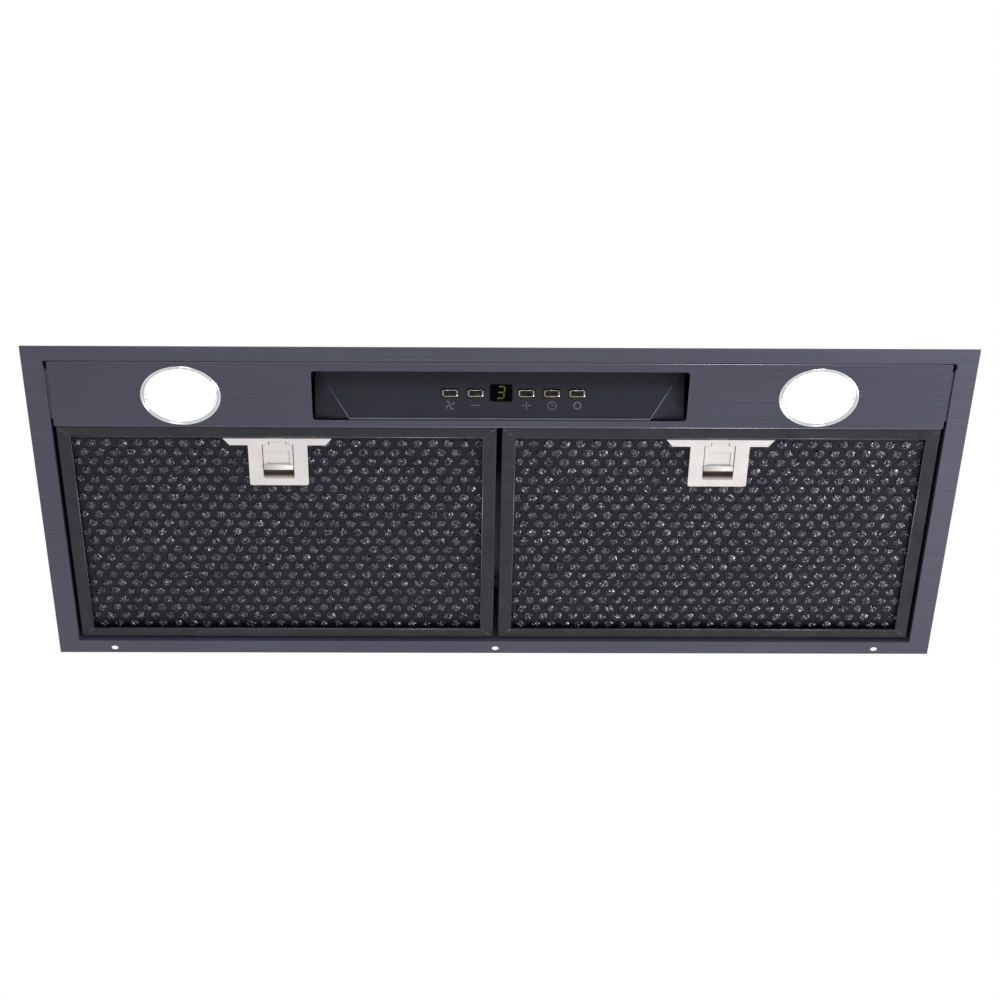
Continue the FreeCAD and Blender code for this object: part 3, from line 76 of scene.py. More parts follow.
# %% Camera
EYE = Vector((-0.0385, -1.6311, -1.5811))
AIM = Vector((0.0014, -0.0096, 0.0))
LEAN = math.radians(-0.81)
LENS = 106.56
SENSOR = 36
camera = bpy.data.objects.new("camera", bpy.data.cameras.new("camera"))
camera.data.lens = LENS
camera.data.sensor_width = SENSOR
camera.rotation_mode = "QUATERNION"
level_view = (AIM - EYE).to_track_quat("-Z", "Y")
camera.rotation_quaternion = level_view @ Matrix.Rotation(LEAN, 3, "Z").to_quaternion()
camera.location = EYE
bpy.context.scene.collection.objects.link(camera)
bpy.context.scene.camera = camera
print("the camera is", round((AIM - EYE).length, 2), "m from the flange")

# %% [markdown]
# ## A helper for meshes
# Nearly every piece below starts as a list of points and faces.  The helper turns
# them into an object, gives it its finish, and lets it ride on the body that it is fixed
# to, so that it follows when that body moves.  The faces of a closed skin should all look
# outwards.  Whether they do depends on which way round the points were listed, and the
# sign of the enclosed volume tells, so a skin that looks inwards is turned over.

# %% Piece helper
def piece(name, points, faces, finishes, body, smooth=True, finish_of=None):
    """Makes one visible piece; finish_of gives the index of each face's finish."""
    mesh = bpy.data.meshes.new(name)
    mesh.from_pydata([tuple(point) for point in points], [], faces)
    shell = bmesh.new()
    shell.from_mesh(mesh)
    if shell.calc_volume(signed=True) < 0:
        bmesh.ops.reverse_faces(shell, faces=shell.faces)
        shell.to_mesh(mesh)
    shell.free()
    mesh.update()
    for material in finishes:
        mesh.materials.append(material)
    for index, face in enumerate(mesh.polygons):
        face.use_smooth = smooth
        face.material_index = finish_of[index] if finish_of else 0
    made = bpy.data.objects.new(name, mesh)
    bpy.context.scene.collection.objects.link(made)
    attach(made, body)
    return made


# %% [markdown]
# ## A helper for finishes
# No real surface is one flat colour.  Sheet steel has brushing lines, moulded plastic has a
# fine grain, and both carry faint clouds where they have been handled.  One recipe covers
# them all: a fine *grain* noise, stretched along the way the surface was worked, and a
# large soft *clouds* noise.  Together they choose between two tones and between two
# values of roughness, and the grain also lifts the surface a little.  A rounded-edge node
# softens the knife edges of folded sheet, which is where real metal catches light.

# %% Finish helper
def link(tree, start, end):
    """Joins two sockets."""
    tree.links.new(start, end)


def stretched_noise(tree, label, scale, detail):
    """A noise texture whose pattern is stretched by a different scale each way."""
    place = tree.nodes.new("ShaderNodeTexCoord")
    stretch = tree.nodes.new("ShaderNodeMapping")
    stretch.inputs["Scale"].default_value = scale
    texture = tree.nodes.new("ShaderNodeTexNoise")
    texture.name = label
    texture.inputs["Scale"].default_value = 1.0
    texture.inputs["Detail"].default_value = detail
    link(tree, place.outputs["Object"], stretch.inputs["Vector"])
    link(tree, stretch.outputs["Vector"], texture.inputs["Vector"])
    return texture


def finish(name, tones, roughness, metallic=0.0, grain=(900, 900, 900), clouds=14.0,
           lift=0.02, cloud_share=0.4, edge=0.3 * MM, specular=0.5):
    """A material with two tones and two values of roughness, mixed by grain and clouds."""
    material = bpy.data.materials.new(name)
    material.use_nodes = True
    tree = material.node_tree
    shader = tree.nodes["Principled BSDF"]
    shader.inputs["Metallic"].default_value = metallic
    shader.inputs["Specular IOR Level"].default_value = specular
    fine = stretched_noise(tree, "grain", grain, 4.0)
    broad = stretched_noise(tree, "clouds", (clouds, clouds, clouds), 2.0)
    both = tree.nodes.new("ShaderNodeMix")
    both.name = "both"
    both.inputs["Factor"].default_value = cloud_share
    link(tree, fine.outputs["Fac"], both.inputs["A"])
    link(tree, broad.outputs["Fac"], both.inputs["B"])
    ramp = tree.nodes.new("ShaderNodeValToRGB")
    ramp.name = "tones"
    for element, place, tone in zip(ramp.color_ramp.elements, (0.36, 0.64), tones):
        element.position = place
        element.color = (*tone, 1)
    shine = tree.nodes.new("ShaderNodeMapRange")
    shine.inputs["From Min"].default_value = 0.3
    shine.inputs["From Max"].default_value = 0.7
    shine.inputs["To Min"].default_value = roughness[0]
    shine.inputs["To Max"].default_value = roughness[1]
    relief = tree.nodes.new("ShaderNodeBump")
    relief.name = "relief"
    relief.inputs["Strength"].default_value = 1.0
    relief.inputs["Distance"].default_value = lift * MM
    rounding = tree.nodes.new("ShaderNodeBevel")
    rounding.samples = 4
    rounding.inputs["Radius"].default_value = edge
    link(tree, both.outputs["Result"], ramp.inputs["Fac"])
    link(tree, both.outputs["Result"], shine.inputs["Value"])
    link(tree, fine.outputs["Fac"], relief.inputs["Height"])
    link(tree, rounding.outputs["Normal"], relief.inputs["Normal"])
    link(tree, ramp.outputs["Color"], shader.inputs["Base Color"])
    link(tree, shine.outputs["Result"], shader.inputs["Roughness"])
    link(tree, relief.outputs["Normal"], shader.inputs["Normal"])
    return material


def set_ramp(material, start, end):
    """Spreads a finish's change of tone over a wider or a narrower share of its noise."""
    steps = material.node_tree.nodes["tones"].color_ramp.elements
    steps[0].position = start
    steps[1].position = end


def wear(part, material):
    """Gives a part of the frame its finish."""
    mesh = nodes[part].data
    mesh.materials.clear()
    mesh.materials.append(material)


# %% [markdown]
# ## The dark satin steel of flange and fascia
# Both are the same sheet: steel with a dark, slightly violet satin coat, brushed along its
# length.  The grain is stretched a hundredfold along the hood, so it reads as brushing
# lines and not as speckle.  A half metallic shader keeps the colour of the coat and still
# mirrors the studio softly.

# %% Satin steel
BRUSHED = (7, 1300, 1300)
satin_steel = finish("satin_steel", ((0.070, 0.067, 0.098), (0.092, 0.088, 0.126)), (0.34, 0.46),
                     metallic=0.55, grain=BRUSHED, clouds=5.0, lift=0.003, edge=0.5 * MM)
fascia_steel = finish("fascia_steel", ((0.066, 0.063, 0.092), (0.088, 0.084, 0.121)), (0.20, 0.30),
                      metallic=0.55, grain=BRUSHED, clouds=4.0, lift=0.003, edge=0.4 * MM)
wear("canopy_frame", satin_steel)
wear("front_panel", fascia_steel)
# The brackets in the gap take the dark satin steel as well; it also stands in for the shade in that gap.
wear("panel_brackets", satin_steel)
print("satin steel on the flange and the fascia")

# %% [markdown]
# ## Galvanised sheet above the cabinet line
# Nobody polishes the parts that hide in the cabinet.  The roof, the blower box and the
# motor's bracket are plain galvanised sheet, and zinc freezes in flat crystals, the spangle.  A
# Voronoi texture gives one random value to each crystal.  It shifts the tone and the
# roughness together, so that neighbours shine differently as the view turns.

# %% Galvanised sheet
CRYSTALS = 190


def galvanised_sheet():
    """Zinc spangle: crystals with their own tone and shine."""
    material = finish("galvanised_sheet", ((0.45, 0.46, 0.48), (0.55, 0.56, 0.58)), (0.34, 0.48),
                      metallic=0.85, grain=(260, 260, 260), clouds=9.0, lift=0.01)
    tree = material.node_tree
    place = tree.nodes.new("ShaderNodeTexCoord")
    crystals = tree.nodes.new("ShaderNodeTexVoronoi")
    crystals.inputs["Scale"].default_value = CRYSTALS
    set_ramp(material, 0.0, 1.0)
    value = tree.nodes.new("ShaderNodeSeparateColor")
    link(tree, place.outputs["Object"], crystals.inputs["Vector"])
    link(tree, crystals.outputs["Color"], value.inputs["Color"])
    link(tree, value.outputs["Red"], tree.nodes["both"].inputs["A"])
    return material


zinc = galvanised_sheet()
for part in ("roof_panel", "blower_box", "motor_bracket"):
    wear(part, zinc)
print("zinc spangle of", round(1 / CRYSTALS / MM, 1), "mm on the hidden sheets")

# %% [markdown]
# ## Moulded plastics
# The key strip, the collar and the boxes are injection moulded.  A mould is spark-eroded to
# a fine matt texture, so the plastic has an even grain of about a quarter of a millimetre
# and no direction.  The list gives each colour of plastic its two tones and its shine.  The
# key strip's is the darkest, with a violet cast and less shine than the rest.

# %% Moulded plastics
PLASTICS = {
    "collar_plastic": (((0.012, 0.012, 0.013), (0.022, 0.022, 0.024)), (0.40, 0.55)),
    "fan_plastic": (((0.035, 0.035, 0.037), (0.055, 0.055, 0.058)), (0.38, 0.50)),
    "scroll_plastic": (((0.085, 0.09, 0.095), (0.115, 0.12, 0.125)), (0.42, 0.58)),
    "box_plastic": (((0.36, 0.37, 0.38), (0.43, 0.44, 0.45)), (0.40, 0.55)),
    "terminal_plastic": (((0.72, 0.70, 0.64), (0.82, 0.80, 0.75)), (0.32, 0.45)),
    "board_laminate": (((0.012, 0.075, 0.035), (0.02, 0.12, 0.055)), (0.25, 0.40)),
    "grommet_rubber": (((0.010, 0.010, 0.010), (0.022, 0.022, 0.022)), (0.65, 0.85)),
}
plastics = {}
SPARK_GRAIN = (2600, 2600, 2600)
for name, (tones, roughness) in PLASTICS.items():
    plastics[name] = finish(name, tones, roughness, grain=SPARK_GRAIN, clouds=30.0, lift=0.012)
insert_plastic = finish("insert_plastic", ((0.013, 0.0125, 0.021), (0.019, 0.0185, 0.029)), (0.42, 0.55),
                        grain=SPARK_GRAIN, clouds=30.0, lift=0.012, edge=0.8 * MM, specular=0.25)
wear("control_insert", insert_plastic)
WEARS_PLASTIC = {
    "collar_plastic": ("outlet_collar", "damper_flap_front", "damper_flap_rear", "cable_gland",
                       "display_module"),
    "fan_plastic": ("impeller", "key_switches"),
    "scroll_plastic": ("scroll_left", "scroll_right"),
    "box_plastic": ("electronics_box", "electronics_lid", "control_cover"),
    "terminal_plastic": ("terminal_block", "run_capacitor"),
    "board_laminate": ("control_board", "power_board", "lamp_led_boards"),
    "grommet_rubber": ("motor_grommets",),
}
for name, parts in WEARS_PLASTIC.items():
    for part in parts:
        wear(part, plastics[name])
print(len(plastics) + 1, "plastics")

# %% [markdown]
# ## Bare and plated metals
# Springs, screws, bearings, the motor and the lamp cans are bare or plated metal.  They
# differ in tone and in how they were worked: turned, rolled, ground or drawn.  Copper wire
# gets a warm tone and a grain stretched round the coil.

# %% Bare metals
METALS = {
    "ground_steel": (((0.52, 0.52, 0.54), (0.66, 0.66, 0.68)), (0.16, 0.30), (40, 1500, 1500)),
    "spring_steel": (((0.40, 0.40, 0.42), (0.56, 0.56, 0.58)), (0.22, 0.38), (300, 1200, 1200)),
    "zinc_plate": (((0.46, 0.46, 0.50), (0.62, 0.62, 0.66)), (0.25, 0.42), (700, 700, 700)),
    "motor_plate": (((0.30, 0.31, 0.33), (0.42, 0.43, 0.45)), (0.35, 0.50), (60, 900, 900)),
    "lamp_alloy": (((0.48, 0.48, 0.50), (0.62, 0.62, 0.64)), (0.28, 0.42), (900, 900, 60)),
    "copper_wire": (((0.46, 0.17, 0.07), (0.66, 0.30, 0.13)), (0.25, 0.40), (2200, 300, 300)),
}
metals = {}
for name, (tones, roughness, grain) in METALS.items():
    metals[name] = finish(name, tones, roughness, metallic=1.0, grain=grain, clouds=40.0, lift=0.004)
WEARS_METAL = {
    "ground_steel": ("damper_pin", "motor_shaft", "motor_bearings"),
    "spring_steel": ("lamp_clips", "mounting_clips", "latch_spring_left", "latch_spring_right"),
    "zinc_plate": ("hood_screws",),
    "motor_plate": ("motor_can_left", "motor_can_right", "stator_core", "rotor_core"),
    "lamp_alloy": ("lamp_body_left", "lamp_body_right"),
    "copper_wire": ("stator_windings",),
}
for name, parts in WEARS_METAL.items():
    for part in parts:
        wear(part, metals[name])
print(len(metals), "metals")

# %% [markdown]
# ## Filter frames and facings
# The filter rails are extruded aluminium, coated nearly black, with the faint die lines of
# an extrusion.  The facing is a stamped sheet in the same coat, a little rougher.  The foil
# behind it is bright metal dimmed by grease, in curls, so its noise is distorted and
# its two tones lie close together on the ramp.  These tones run from near black to pale:
# partly grease, and partly painted glints and painted shade in the creases of the foil.

# %% Filter coats
rail_coat = finish("rail_coat", ((0.022, 0.021, 0.027), (0.036, 0.034, 0.043)), (0.24, 0.34),
                   metallic=0.5, grain=(60, 60, 1200), clouds=12.0, lift=0.003, edge=0.6 * MM)
facing_coat = finish("facing_coat", ((0.008, 0.008, 0.013), (0.014, 0.014, 0.021)), (0.34, 0.48),
                     metallic=0.5, grain=(700, 700, 700), clouds=25.0, lift=0.01, edge=0.15 * MM,
                     specular=0.35)
# Partly grease, partly painted glints and painted shade: the foil's tones run from near black to pale.
foil_grease_and_painted_glints = finish("foil_grease_and_painted_glints", ((0.004, 0.004, 0.006), (0.175, 0.175, 0.205)), (0.22, 0.34),
                   metallic=0.9, grain=(620, 620, 620), clouds=300.0, lift=0.05, cloud_share=0.2,
                   edge=0.05 * MM)
foil_grease_and_painted_glints.node_tree.nodes["grain"].inputs["Distortion"].default_value = 1.6
set_ramp(foil_grease_and_painted_glints, 0.44, 0.60)
for side in SIDES:
    wear("filter_frame_" + side, rail_coat)
    wear("filter_facing_" + side, facing_coat)
print("coats for", len(SIDES), "filters")

# %% [markdown]
# ## Latch plastic
# The latches are the only pale things on the hood: moulded in a warm silver-white, with a
# slight pearl.  A weak coat layer gives the soft second highlight of moulded gloss.  The
# finger well and the narrow slits round the slide get painted shade: the tone turns dark
# brown with the height above the latch's face.

# %% Latch plastic
latch_white = finish("latch_white", ((0.61, 0.58, 0.572), (0.70, 0.67, 0.66)), (0.30, 0.42),
                     metallic=0.1, grain=(1800, 1800, 1800), clouds=60.0, lift=0.006, edge=0.5 * MM)
latch_white.node_tree.nodes["Principled BSDF"].inputs["Coat Weight"].default_value = 0.2


def shade_by_height(material, start_z, end_z, tone):
    """Paints shade into a finish: it turns to another tone as the surface goes up into the hood."""
    tree = material.node_tree
    place = tree.nodes.new("ShaderNodeTexCoord")
    parts_of_place = tree.nodes.new("ShaderNodeSeparateXYZ")
    share = tree.nodes.new("ShaderNodeMapRange")
    share.inputs["From Min"].default_value = start_z
    share.inputs["From Max"].default_value = end_z
    blend = tree.nodes.new("ShaderNodeMix")
    blend.data_type = "RGBA"
    first, second = [socket for socket in blend.inputs if socket.type == "RGBA"]
    blended = next(socket for socket in blend.outputs if socket.type == "RGBA")
    second.default_value = (*tone, 1)
    link(tree, place.outputs["Object"], parts_of_place.inputs["Vector"])
    link(tree, parts_of_place.outputs["Z"], share.inputs["Value"])
    link(tree, share.outputs["Result"], blend.inputs["Factor"])
    link(tree, tree.nodes["tones"].outputs["Color"], first)
    link(tree, blended, tree.nodes["Principled BSDF"].inputs["Base Color"])


latch_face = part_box("latch_plate_left")[0].z
# Painted shade: the finger well and the slits turn dark brown above the latch's face.
shade_by_height(latch_white, latch_face + 1.3 * MM, latch_face + 4.0 * MM, (0.17, 0.125, 0.10))
for side in SIDES:
    wear("latch_plate_" + side, latch_white)
    wear("latch_slider_" + side, latch_white)
print("two pale latches")

# %% [markdown]
# ## Keys, pane, print and light
# Four small finishes belong to the key strip.  The keys are plastic with a vacuum-plated
# metal skin; their sunk middle takes a darker copy of it, a painted dark reflection.  The
# pane is smoked and glossy.  The signs are printed in a thin grey ink, and the digit is lit
# from behind in yellow-green.

# %% Key strip finishes
key_plate = finish("key_plate", ((0.20, 0.195, 0.185), (0.46, 0.45, 0.43)), (0.10, 0.20), metallic=1.0,
                   grain=(300, 2500, 2500), clouds=120.0, lift=0.004, edge=0.1 * MM)
# Painted dark reflection: a darker copy of the keys' plated skin, for their sunk middle.
key_middle_painted_reflection = finish("key_middle_painted_reflection", ((0.005, 0.0045, 0.003), (0.045, 0.043, 0.033)), (0.14, 0.28),
                    metallic=0.9, grain=(260, 1400, 1400), clouds=260.0, lift=0.01, edge=0.1 * MM)
smoked_pane = finish("smoked_pane", ((0.0008, 0.0008, 0.0007), (0.002, 0.002, 0.0017)), (0.05, 0.12),
                     grain=(1500, 1500, 1500), clouds=200.0, lift=0.001, specular=0.03)
grey_ink = finish("grey_ink", ((0.070, 0.070, 0.094), (0.105, 0.105, 0.138)), (0.5, 0.7),
                  grain=(4000, 4000, 4000), clouds=300.0, lift=0.004)
wear("display_window", smoked_pane)


def glowing(name, tones, strength, grain, clouds):
    """A finish that also gives light, in the same two tones as its surface."""
    material = finish(name, tones, (0.3, 0.5), grain=(grain, grain, grain), clouds=clouds)
    tree = material.node_tree
    shader = tree.nodes["Principled BSDF"]
    link(tree, tree.nodes["tones"].outputs["Color"], shader.inputs["Emission Color"])
    shader.inputs["Emission Strength"].default_value = strength
    return material


digit_glow = glowing("digit_glow", ((0.048, 0.064, 0.006), (0.074, 0.096, 0.009)), 0.25, 3000, 600.0)
print("finishes for the key strip")

# %% [markdown]
# ## Where the key face is
# The keys stand on a face that leans towards the cook.  Its direction needn't be measured:
# each key's joint already says which way the key is pressed.  That axis, and the direction
# down the face at right angles to it, make a small flat drawing board.  The lowest point of a
# key along the axis is its top, which stands proud of the face by a known amount.

# %% Key face
KEY_PROUD = 0.9 * MM
KEYS = ("fan", "minus", "plus", "timer", "light")
press = Vector(next(j for j in frame["joints"] if j["name"] == "key_fan_press")["axis"])
down_face = press.cross(ACROSS)
key_top = min(vertex.co.dot(press) for vertex in nodes["key_fan"].data.vertices)
face_level = key_top + KEY_PROUD


def middle(part):
    """The middle of a part's box."""
    low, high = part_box(part)
    return (low + high) / 2


def on_face(x, down, depth):
    """A point from x, the distance down the face and the depth behind its surface."""
    return ACROSS * x + down_face * down + press * (face_level + depth)


key_row = sum(middle("key_" + key).dot(down_face) for key in KEYS) / len(KEYS)
print("the face leans", round(math.degrees(math.atan2(press.y, press.z))), "degrees")

# %% [markdown]
# ## Outlines and lofts
# A key, a pane or a lamp is a stack of outlines.  Few helpers are enough: one draws a
# rectangle with round corners as a ring of points, and the other joins rings of equal count
# into a skin and closes both ends.  A frame or a trim ring has no ends, so a third helper
# joins its last ring to its first.

# %% Rings and lofts
def round_rectangle(half_width, half_height, radius, steps=5):
    """Corner points, counterclockwise, with each corner as a short arc."""
    ring = []
    for corner, (sx, sy) in enumerate(((1, 1), (-1, 1), (-1, -1), (1, -1))):
        for step in range(steps + 1):
            angle = math.radians(90 * (corner + step / steps))
            ring.append((sx * (half_width - radius) + radius * math.cos(angle),
                         sy * (half_height - radius) + radius * math.sin(angle)))
    return ring


def loft(rings):
    """Points and faces of a closed skin through rings of equal count."""
    count = len(rings[0])
    points = [point for ring in rings for point in ring]
    faces = []
    for level in range(len(rings) - 1):
        for index in range(count):
            after = (index + 1) % count
            faces.append((level * count + index, level * count + after,
                          (level + 1) * count + after, (level + 1) * count + index))
    faces.append(tuple(reversed(range(count))))
    faces.append(tuple((len(rings) - 1) * count + index for index in range(count)))
    return points, faces


def closed_loop(rings):
    """Points and faces of a hollow frame, whose last ring joins its first."""
    points, faces = loft(rings + rings[:1])
    total = len(rings[0]) * len(rings)
    return points[:total], [tuple(index % total for index in face) for face in faces[:-2]]


print("a round rectangle has", len(round_rectangle(2, 1, 0.5)), "points")

# %% [markdown]
# ## The five keys
# Each key is a small bevelled frame round a sunk middle.  The bevels matter most:
# the ones that face the light are what the eye sees first.  So the loft steps inwards over
# a broad outer bevel, a narrow flat and an inner slope.  The last face is the middle, in a
# darker copy of the key's finish that is a painted dark reflection.
# One helper lays a ring on the key face, and serves the dark rings of painted shade round
# the keys as well.

# %% Keys
KEY_HALF = (6.2 * MM, 3.25 * MM)
KEY_CORNER = 1.9
SHARPEST_CORNER = 0.35
# Inset from the key's edge and depth behind the face, in millimetres.
KEY_STEPS = ((0.0, 2.2), (0.0, 0.05), (0.4, -0.45), (0.95, -0.86), (1.1, -0.9), (1.2, -0.9),
             (1.5, -0.6), (1.6, -0.45))


def face_ring(centre_x, row, half_size, corner, inset, depth):
    """A round rectangle on the key face; corner, inset and depth are in millimetres."""
    half_width, half_height = (half - inset * MM for half in half_size)
    outline = round_rectangle(half_width, half_height, corner * MM)
    return [on_face(centre_x + x, row + y, depth * MM) for x, y in outline]


def key_cap(key):
    """A bevelled key in place of the plain one."""
    centre_x = middle("key_" + key).x
    rings = [face_ring(centre_x, key_row, KEY_HALF, max(KEY_CORNER - inset, SHARPEST_CORNER), inset, depth)
             for inset, depth in KEY_STEPS]
    points, faces = loft(rings)
    finish_of = [0] * (len(faces) - 1) + [1]
    made = piece("key_cap_" + key, points, faces, [key_plate, key_middle_painted_reflection], "key_%s_cap" % key,
                 smooth=False, finish_of=finish_of)
    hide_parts("key_" + key)
    return made


for key in KEYS:
    key_cap(key)
print(len(KEYS), "keys")

# %% [markdown]
# ## The lit digit
# The display shows one figure made of seven bars, as every such display does.  Each bar is a
# long hexagon.  The figure leans a little to the right, so a point's sideways shift grows
# with its height.  Only the bars of a 3 are made: top, upper right, middle, lower right
# and bottom.  They lie a hair in front of the smoked pane.

# %% The digit
DIGIT_HEIGHT = 9.9 * MM
DIGIT_WIDTH = 4.9 * MM
BAR = 1.05 * MM
BAR_GAP = 0.18
SLANT = 0.12
BAR_BACK = 0.02 * MM
BAR_FRONT = 0.10 * MM


def digit_bar(start, end):
    """Six corners of a bar between two points on the pane (x right, y down from the middle)."""
    start = Vector(start)
    end = Vector(end)
    along = (end - start).normalized()
    side = Vector((-along.y, along.x)) * BAR / 2
    gap = along * BAR * BAR_GAP
    point = along * BAR / 2
    a = start + gap
    b = end - gap
    return [a, a + point + side, b - point + side, b, b - point - side, a + point - side]


def lit_digit():
    """The figure 3 in five bars, each a thin closed plate."""
    right = DIGIT_WIDTH / 2
    low = DIGIT_HEIGHT / 2 - BAR / 2
    bars = (((-right, -low), (right, -low)), ((right, -low), (right, 0)), ((-right, 0), (right, 0)),
            ((right, 0), (right, low)), ((-right, low), (right, low)))
    centre = middle("display_window")
    window_row = centre.dot(down_face)
    pane_face = min(vertex.co.dot(press) for vertex in nodes["display_window"].data.vertices) - face_level
    points = []
    faces = []
    for start, end in bars:
        corners = digit_bar(start, end)
        rings = []
        for depth in (pane_face - BAR_BACK, pane_face - BAR_FRONT):
            rings.append([on_face(centre.x + c.x - c.y * SLANT, window_row + c.y, depth) for c in corners])
        bar_points, bar_faces = loft(rings)
        faces += [tuple(index + len(points) for index in face) for face in bar_faces]
        points += bar_points
    return piece("lit_digit", points, faces, [digit_glow], "hood", smooth=False)


lit_digit()
print("a digit", DIGIT_HEIGHT / MM, "mm tall")

# %% [markdown]
# ## Printed signs
# Under each key is a sign: fan blades, minus, plus, a clock and a ring for the light.  They
# are plain symbols, printed in grey ink, so each is a plate under a tenth of a millimetre thick
# that lies on the key face.  A stroke is a bar with square ends, an arc is a bent
# stroke, and every sign is a few of these.  The fan's blades are strokes that bend as they go.

# %% Printed signs
INK = 0.06 * MM
INK_ROOT = 0.01 * MM
SIGN_DOWN = 9.2 * MM
REACH = 3.4 * MM
THIN = 0.75 * MM
HAND = 0.6 * MM
THICK = 1.1 * MM
BLADE = 1.0 * MM
BLADE_START = 0.5 * MM
BLADE_LENGTH = 3.3 * MM
BLADE_BEND = 0.5


def stroke(path, width):
    """Two edges of a stroke that follows a path of points, as one closed outline."""
    left = []
    right = []
    for index, point in enumerate(path):
        before = Vector(path[max(index - 1, 0)])
        after = Vector(path[min(index + 1, len(path) - 1)])
        along = (after - before).normalized()
        side = Vector((-along.y, along.x)) * width / 2
        left.append(Vector(point) + side)
        right.append(Vector(point) - side)
    return left, right


def arc(centre, radius, start, end, steps=20):
    """Points on a circle's arc, with angles in degrees."""
    points = []
    for step in range(steps + 1):
        angle = math.radians(start + (end - start) * step / steps)
        points.append((centre[0] + radius * math.cos(angle), centre[1] + radius * math.sin(angle)))
    return points


def sign(key, strokes):
    """A printed sign made of strokes, below its key."""
    centre = middle("key_" + key)
    points = []
    faces = []
    for path, width in strokes:
        left, right = stroke(path, width)
        base = len(points)
        for a, b in zip(left, right):
            for flat, depth in ((a, -INK), (b, -INK), (b, INK_ROOT), (a, INK_ROOT)):
                points.append(on_face(centre.x + flat.x, key_row + SIGN_DOWN + flat.y, depth))
        for step in range(len(left) - 1):
            for corner in range(4):
                after = (corner + 1) % 4
                row = base + 4 * step
                faces.append((row + corner, row + after, row + 4 + after, row + 4 + corner))
        last = base + 4 * (len(left) - 1)
        faces.append((base + 3, base + 2, base + 1, base))
        faces.append((last, last + 1, last + 2, last + 3))
    return piece("sign_" + key, points, faces, [grey_ink], "hood", smooth=False)


def fan_blades():
    """Four curved blades about a middle, turned like an X."""
    blades = []
    for quarter in range(4):
        turn = math.radians(45 + 90 * quarter)
        path = []
        for step in range(9):
            reach = BLADE_START + BLADE_LENGTH * step / 8
            bend = turn + BLADE_BEND * math.sin(math.pi * step / 8)
            path.append((reach * math.cos(bend), reach * math.sin(bend)))
        blades.append((path, BLADE))
    return blades


sign("fan", fan_blades())
sign("minus", [([(-REACH, 0), (REACH, 0)], THIN)])
sign("plus", [([(-REACH, 0), (REACH, 0)], THIN), ([(0, -REACH), (0, REACH)], THIN)])
clock_hands = [([(0, -1.9 * MM), (0, 0.1 * MM)], HAND), ([(0, 0), (1.5 * MM, 0)], HAND)]
sign("timer", [(arc((0, 0), 3.0 * MM, 0, 360, 40), THIN)] + clock_hands)
sign("light", [(arc((0, 0), 2.5 * MM, 0, 360, 36), THICK)])
print(len(KEYS), "signs")

# %% [markdown]
# ## A dark frame round the display and painted shade round the keys
# The pane sits behind a small bevelled frame, part of the key strip, and round each key lies
# a thin dark glossy ring: painted shade where the gap round the key falls in shade.  All of
# them are rings with a few slopes, so one helper makes both kinds.  The display's ring fills
# the edge of its opening down to the pane.

# %% Display frame
def dark_frame(name, centre_x, row, half_size, corner, steps):
    """A thin dark ring on the key face; steps are pairs of inset and depth in millimetres."""
    rings = [face_ring(centre_x, row, half_size, corner - inset * 0.5, inset, depth)
             for inset, depth in steps]
    points, faces = closed_loop(rings)
    return piece(name, points, faces, [frame_gloss_and_gap_shade], "hood", smooth=False)


DISPLAY_HALF = (8.75 * MM, 6.85 * MM)
DISPLAY_STEPS = ((0.0, 2.4), (0.0, 0.15), (0.25, 0.0), (0.9, 1.5), (0.9, 2.4))
GAP_SHADE_HALF = (7.1 * MM, 4.15 * MM)
GAP_SHADE_STEPS = ((0.0, 0.2), (0.0, -0.04), (0.75, -0.02), (0.75, 0.2))
frame_gloss_and_gap_shade = finish("frame_gloss_and_gap_shade", ((0.006, 0.006, 0.007), (0.014, 0.014, 0.016)), (0.12, 0.25),
                     grain=(1500, 1500, 1500), clouds=200.0, lift=0.002, specular=0.3)
display = middle("display_window")
dark_frame("display_frame", display.x, display.dot(down_face), DISPLAY_HALF, 2.0, DISPLAY_STEPS)
# Painted shade: a thin dark ring round each key where its gap falls in shade.
for key in KEYS:
    dark_frame("key_gap_shade_" + key, middle("key_" + key).x, key_row, GAP_SHADE_HALF, 2.2, GAP_SHADE_STEPS)
print("a frame round the display and rims round", len(KEYS), "keys")

# %% [markdown]
# ## The rounded edges of the key face
# The key face ends in a ridge, and at both ends a flat cuts its rear corner off.  A moulded
# part never has knife edges, and these three catch the light as thin pale lines.  One
# slim bead follows the whole path: down the left flat's edge, along the ridge and up the
# right one.  It is sunk into the plastic, so only its rounded back shows, and its plastic
# is paler than the key face: a painted highlight.  The same helper draws the edges of the
# fascia and of the filter rails further down.

# %% Face edges
FACE_LENGTH = 39.3 * MM
RIDGE_HALF = 112.0 * MM
BEAD = 0.5 * MM
BEAD_SINK = 0.4
BEAD_SIDES = 10
# Painted highlight: the bead's plastic is a paler copy of the key face's plastic.
painted_highlight_plastic = finish("painted_highlight_plastic", ((0.085, 0.083, 0.108), (0.13, 0.127, 0.158)), (0.22, 0.34),
                      grain=SPARK_GRAIN, clouds=60.0, lift=0.004)


def bead(path, radius, inwards):
    """Points and faces of a slim rounded bead along a path, sunk a little inwards."""
    rings = []
    for index, point in enumerate(path):
        along = (path[min(index + 1, len(path) - 1)] - path[max(index - 1, 0)]).normalized()
        side = along.cross(inwards)
        ring = []
        for step in range(BEAD_SIDES):
            angle = 2 * math.pi * step / BEAD_SIDES
            spoke = side * math.cos(angle) + inwards * (math.sin(angle) + BEAD_SINK)
            ring.append(point + spoke * radius)
        rings.append(ring)
    return loft(rings)


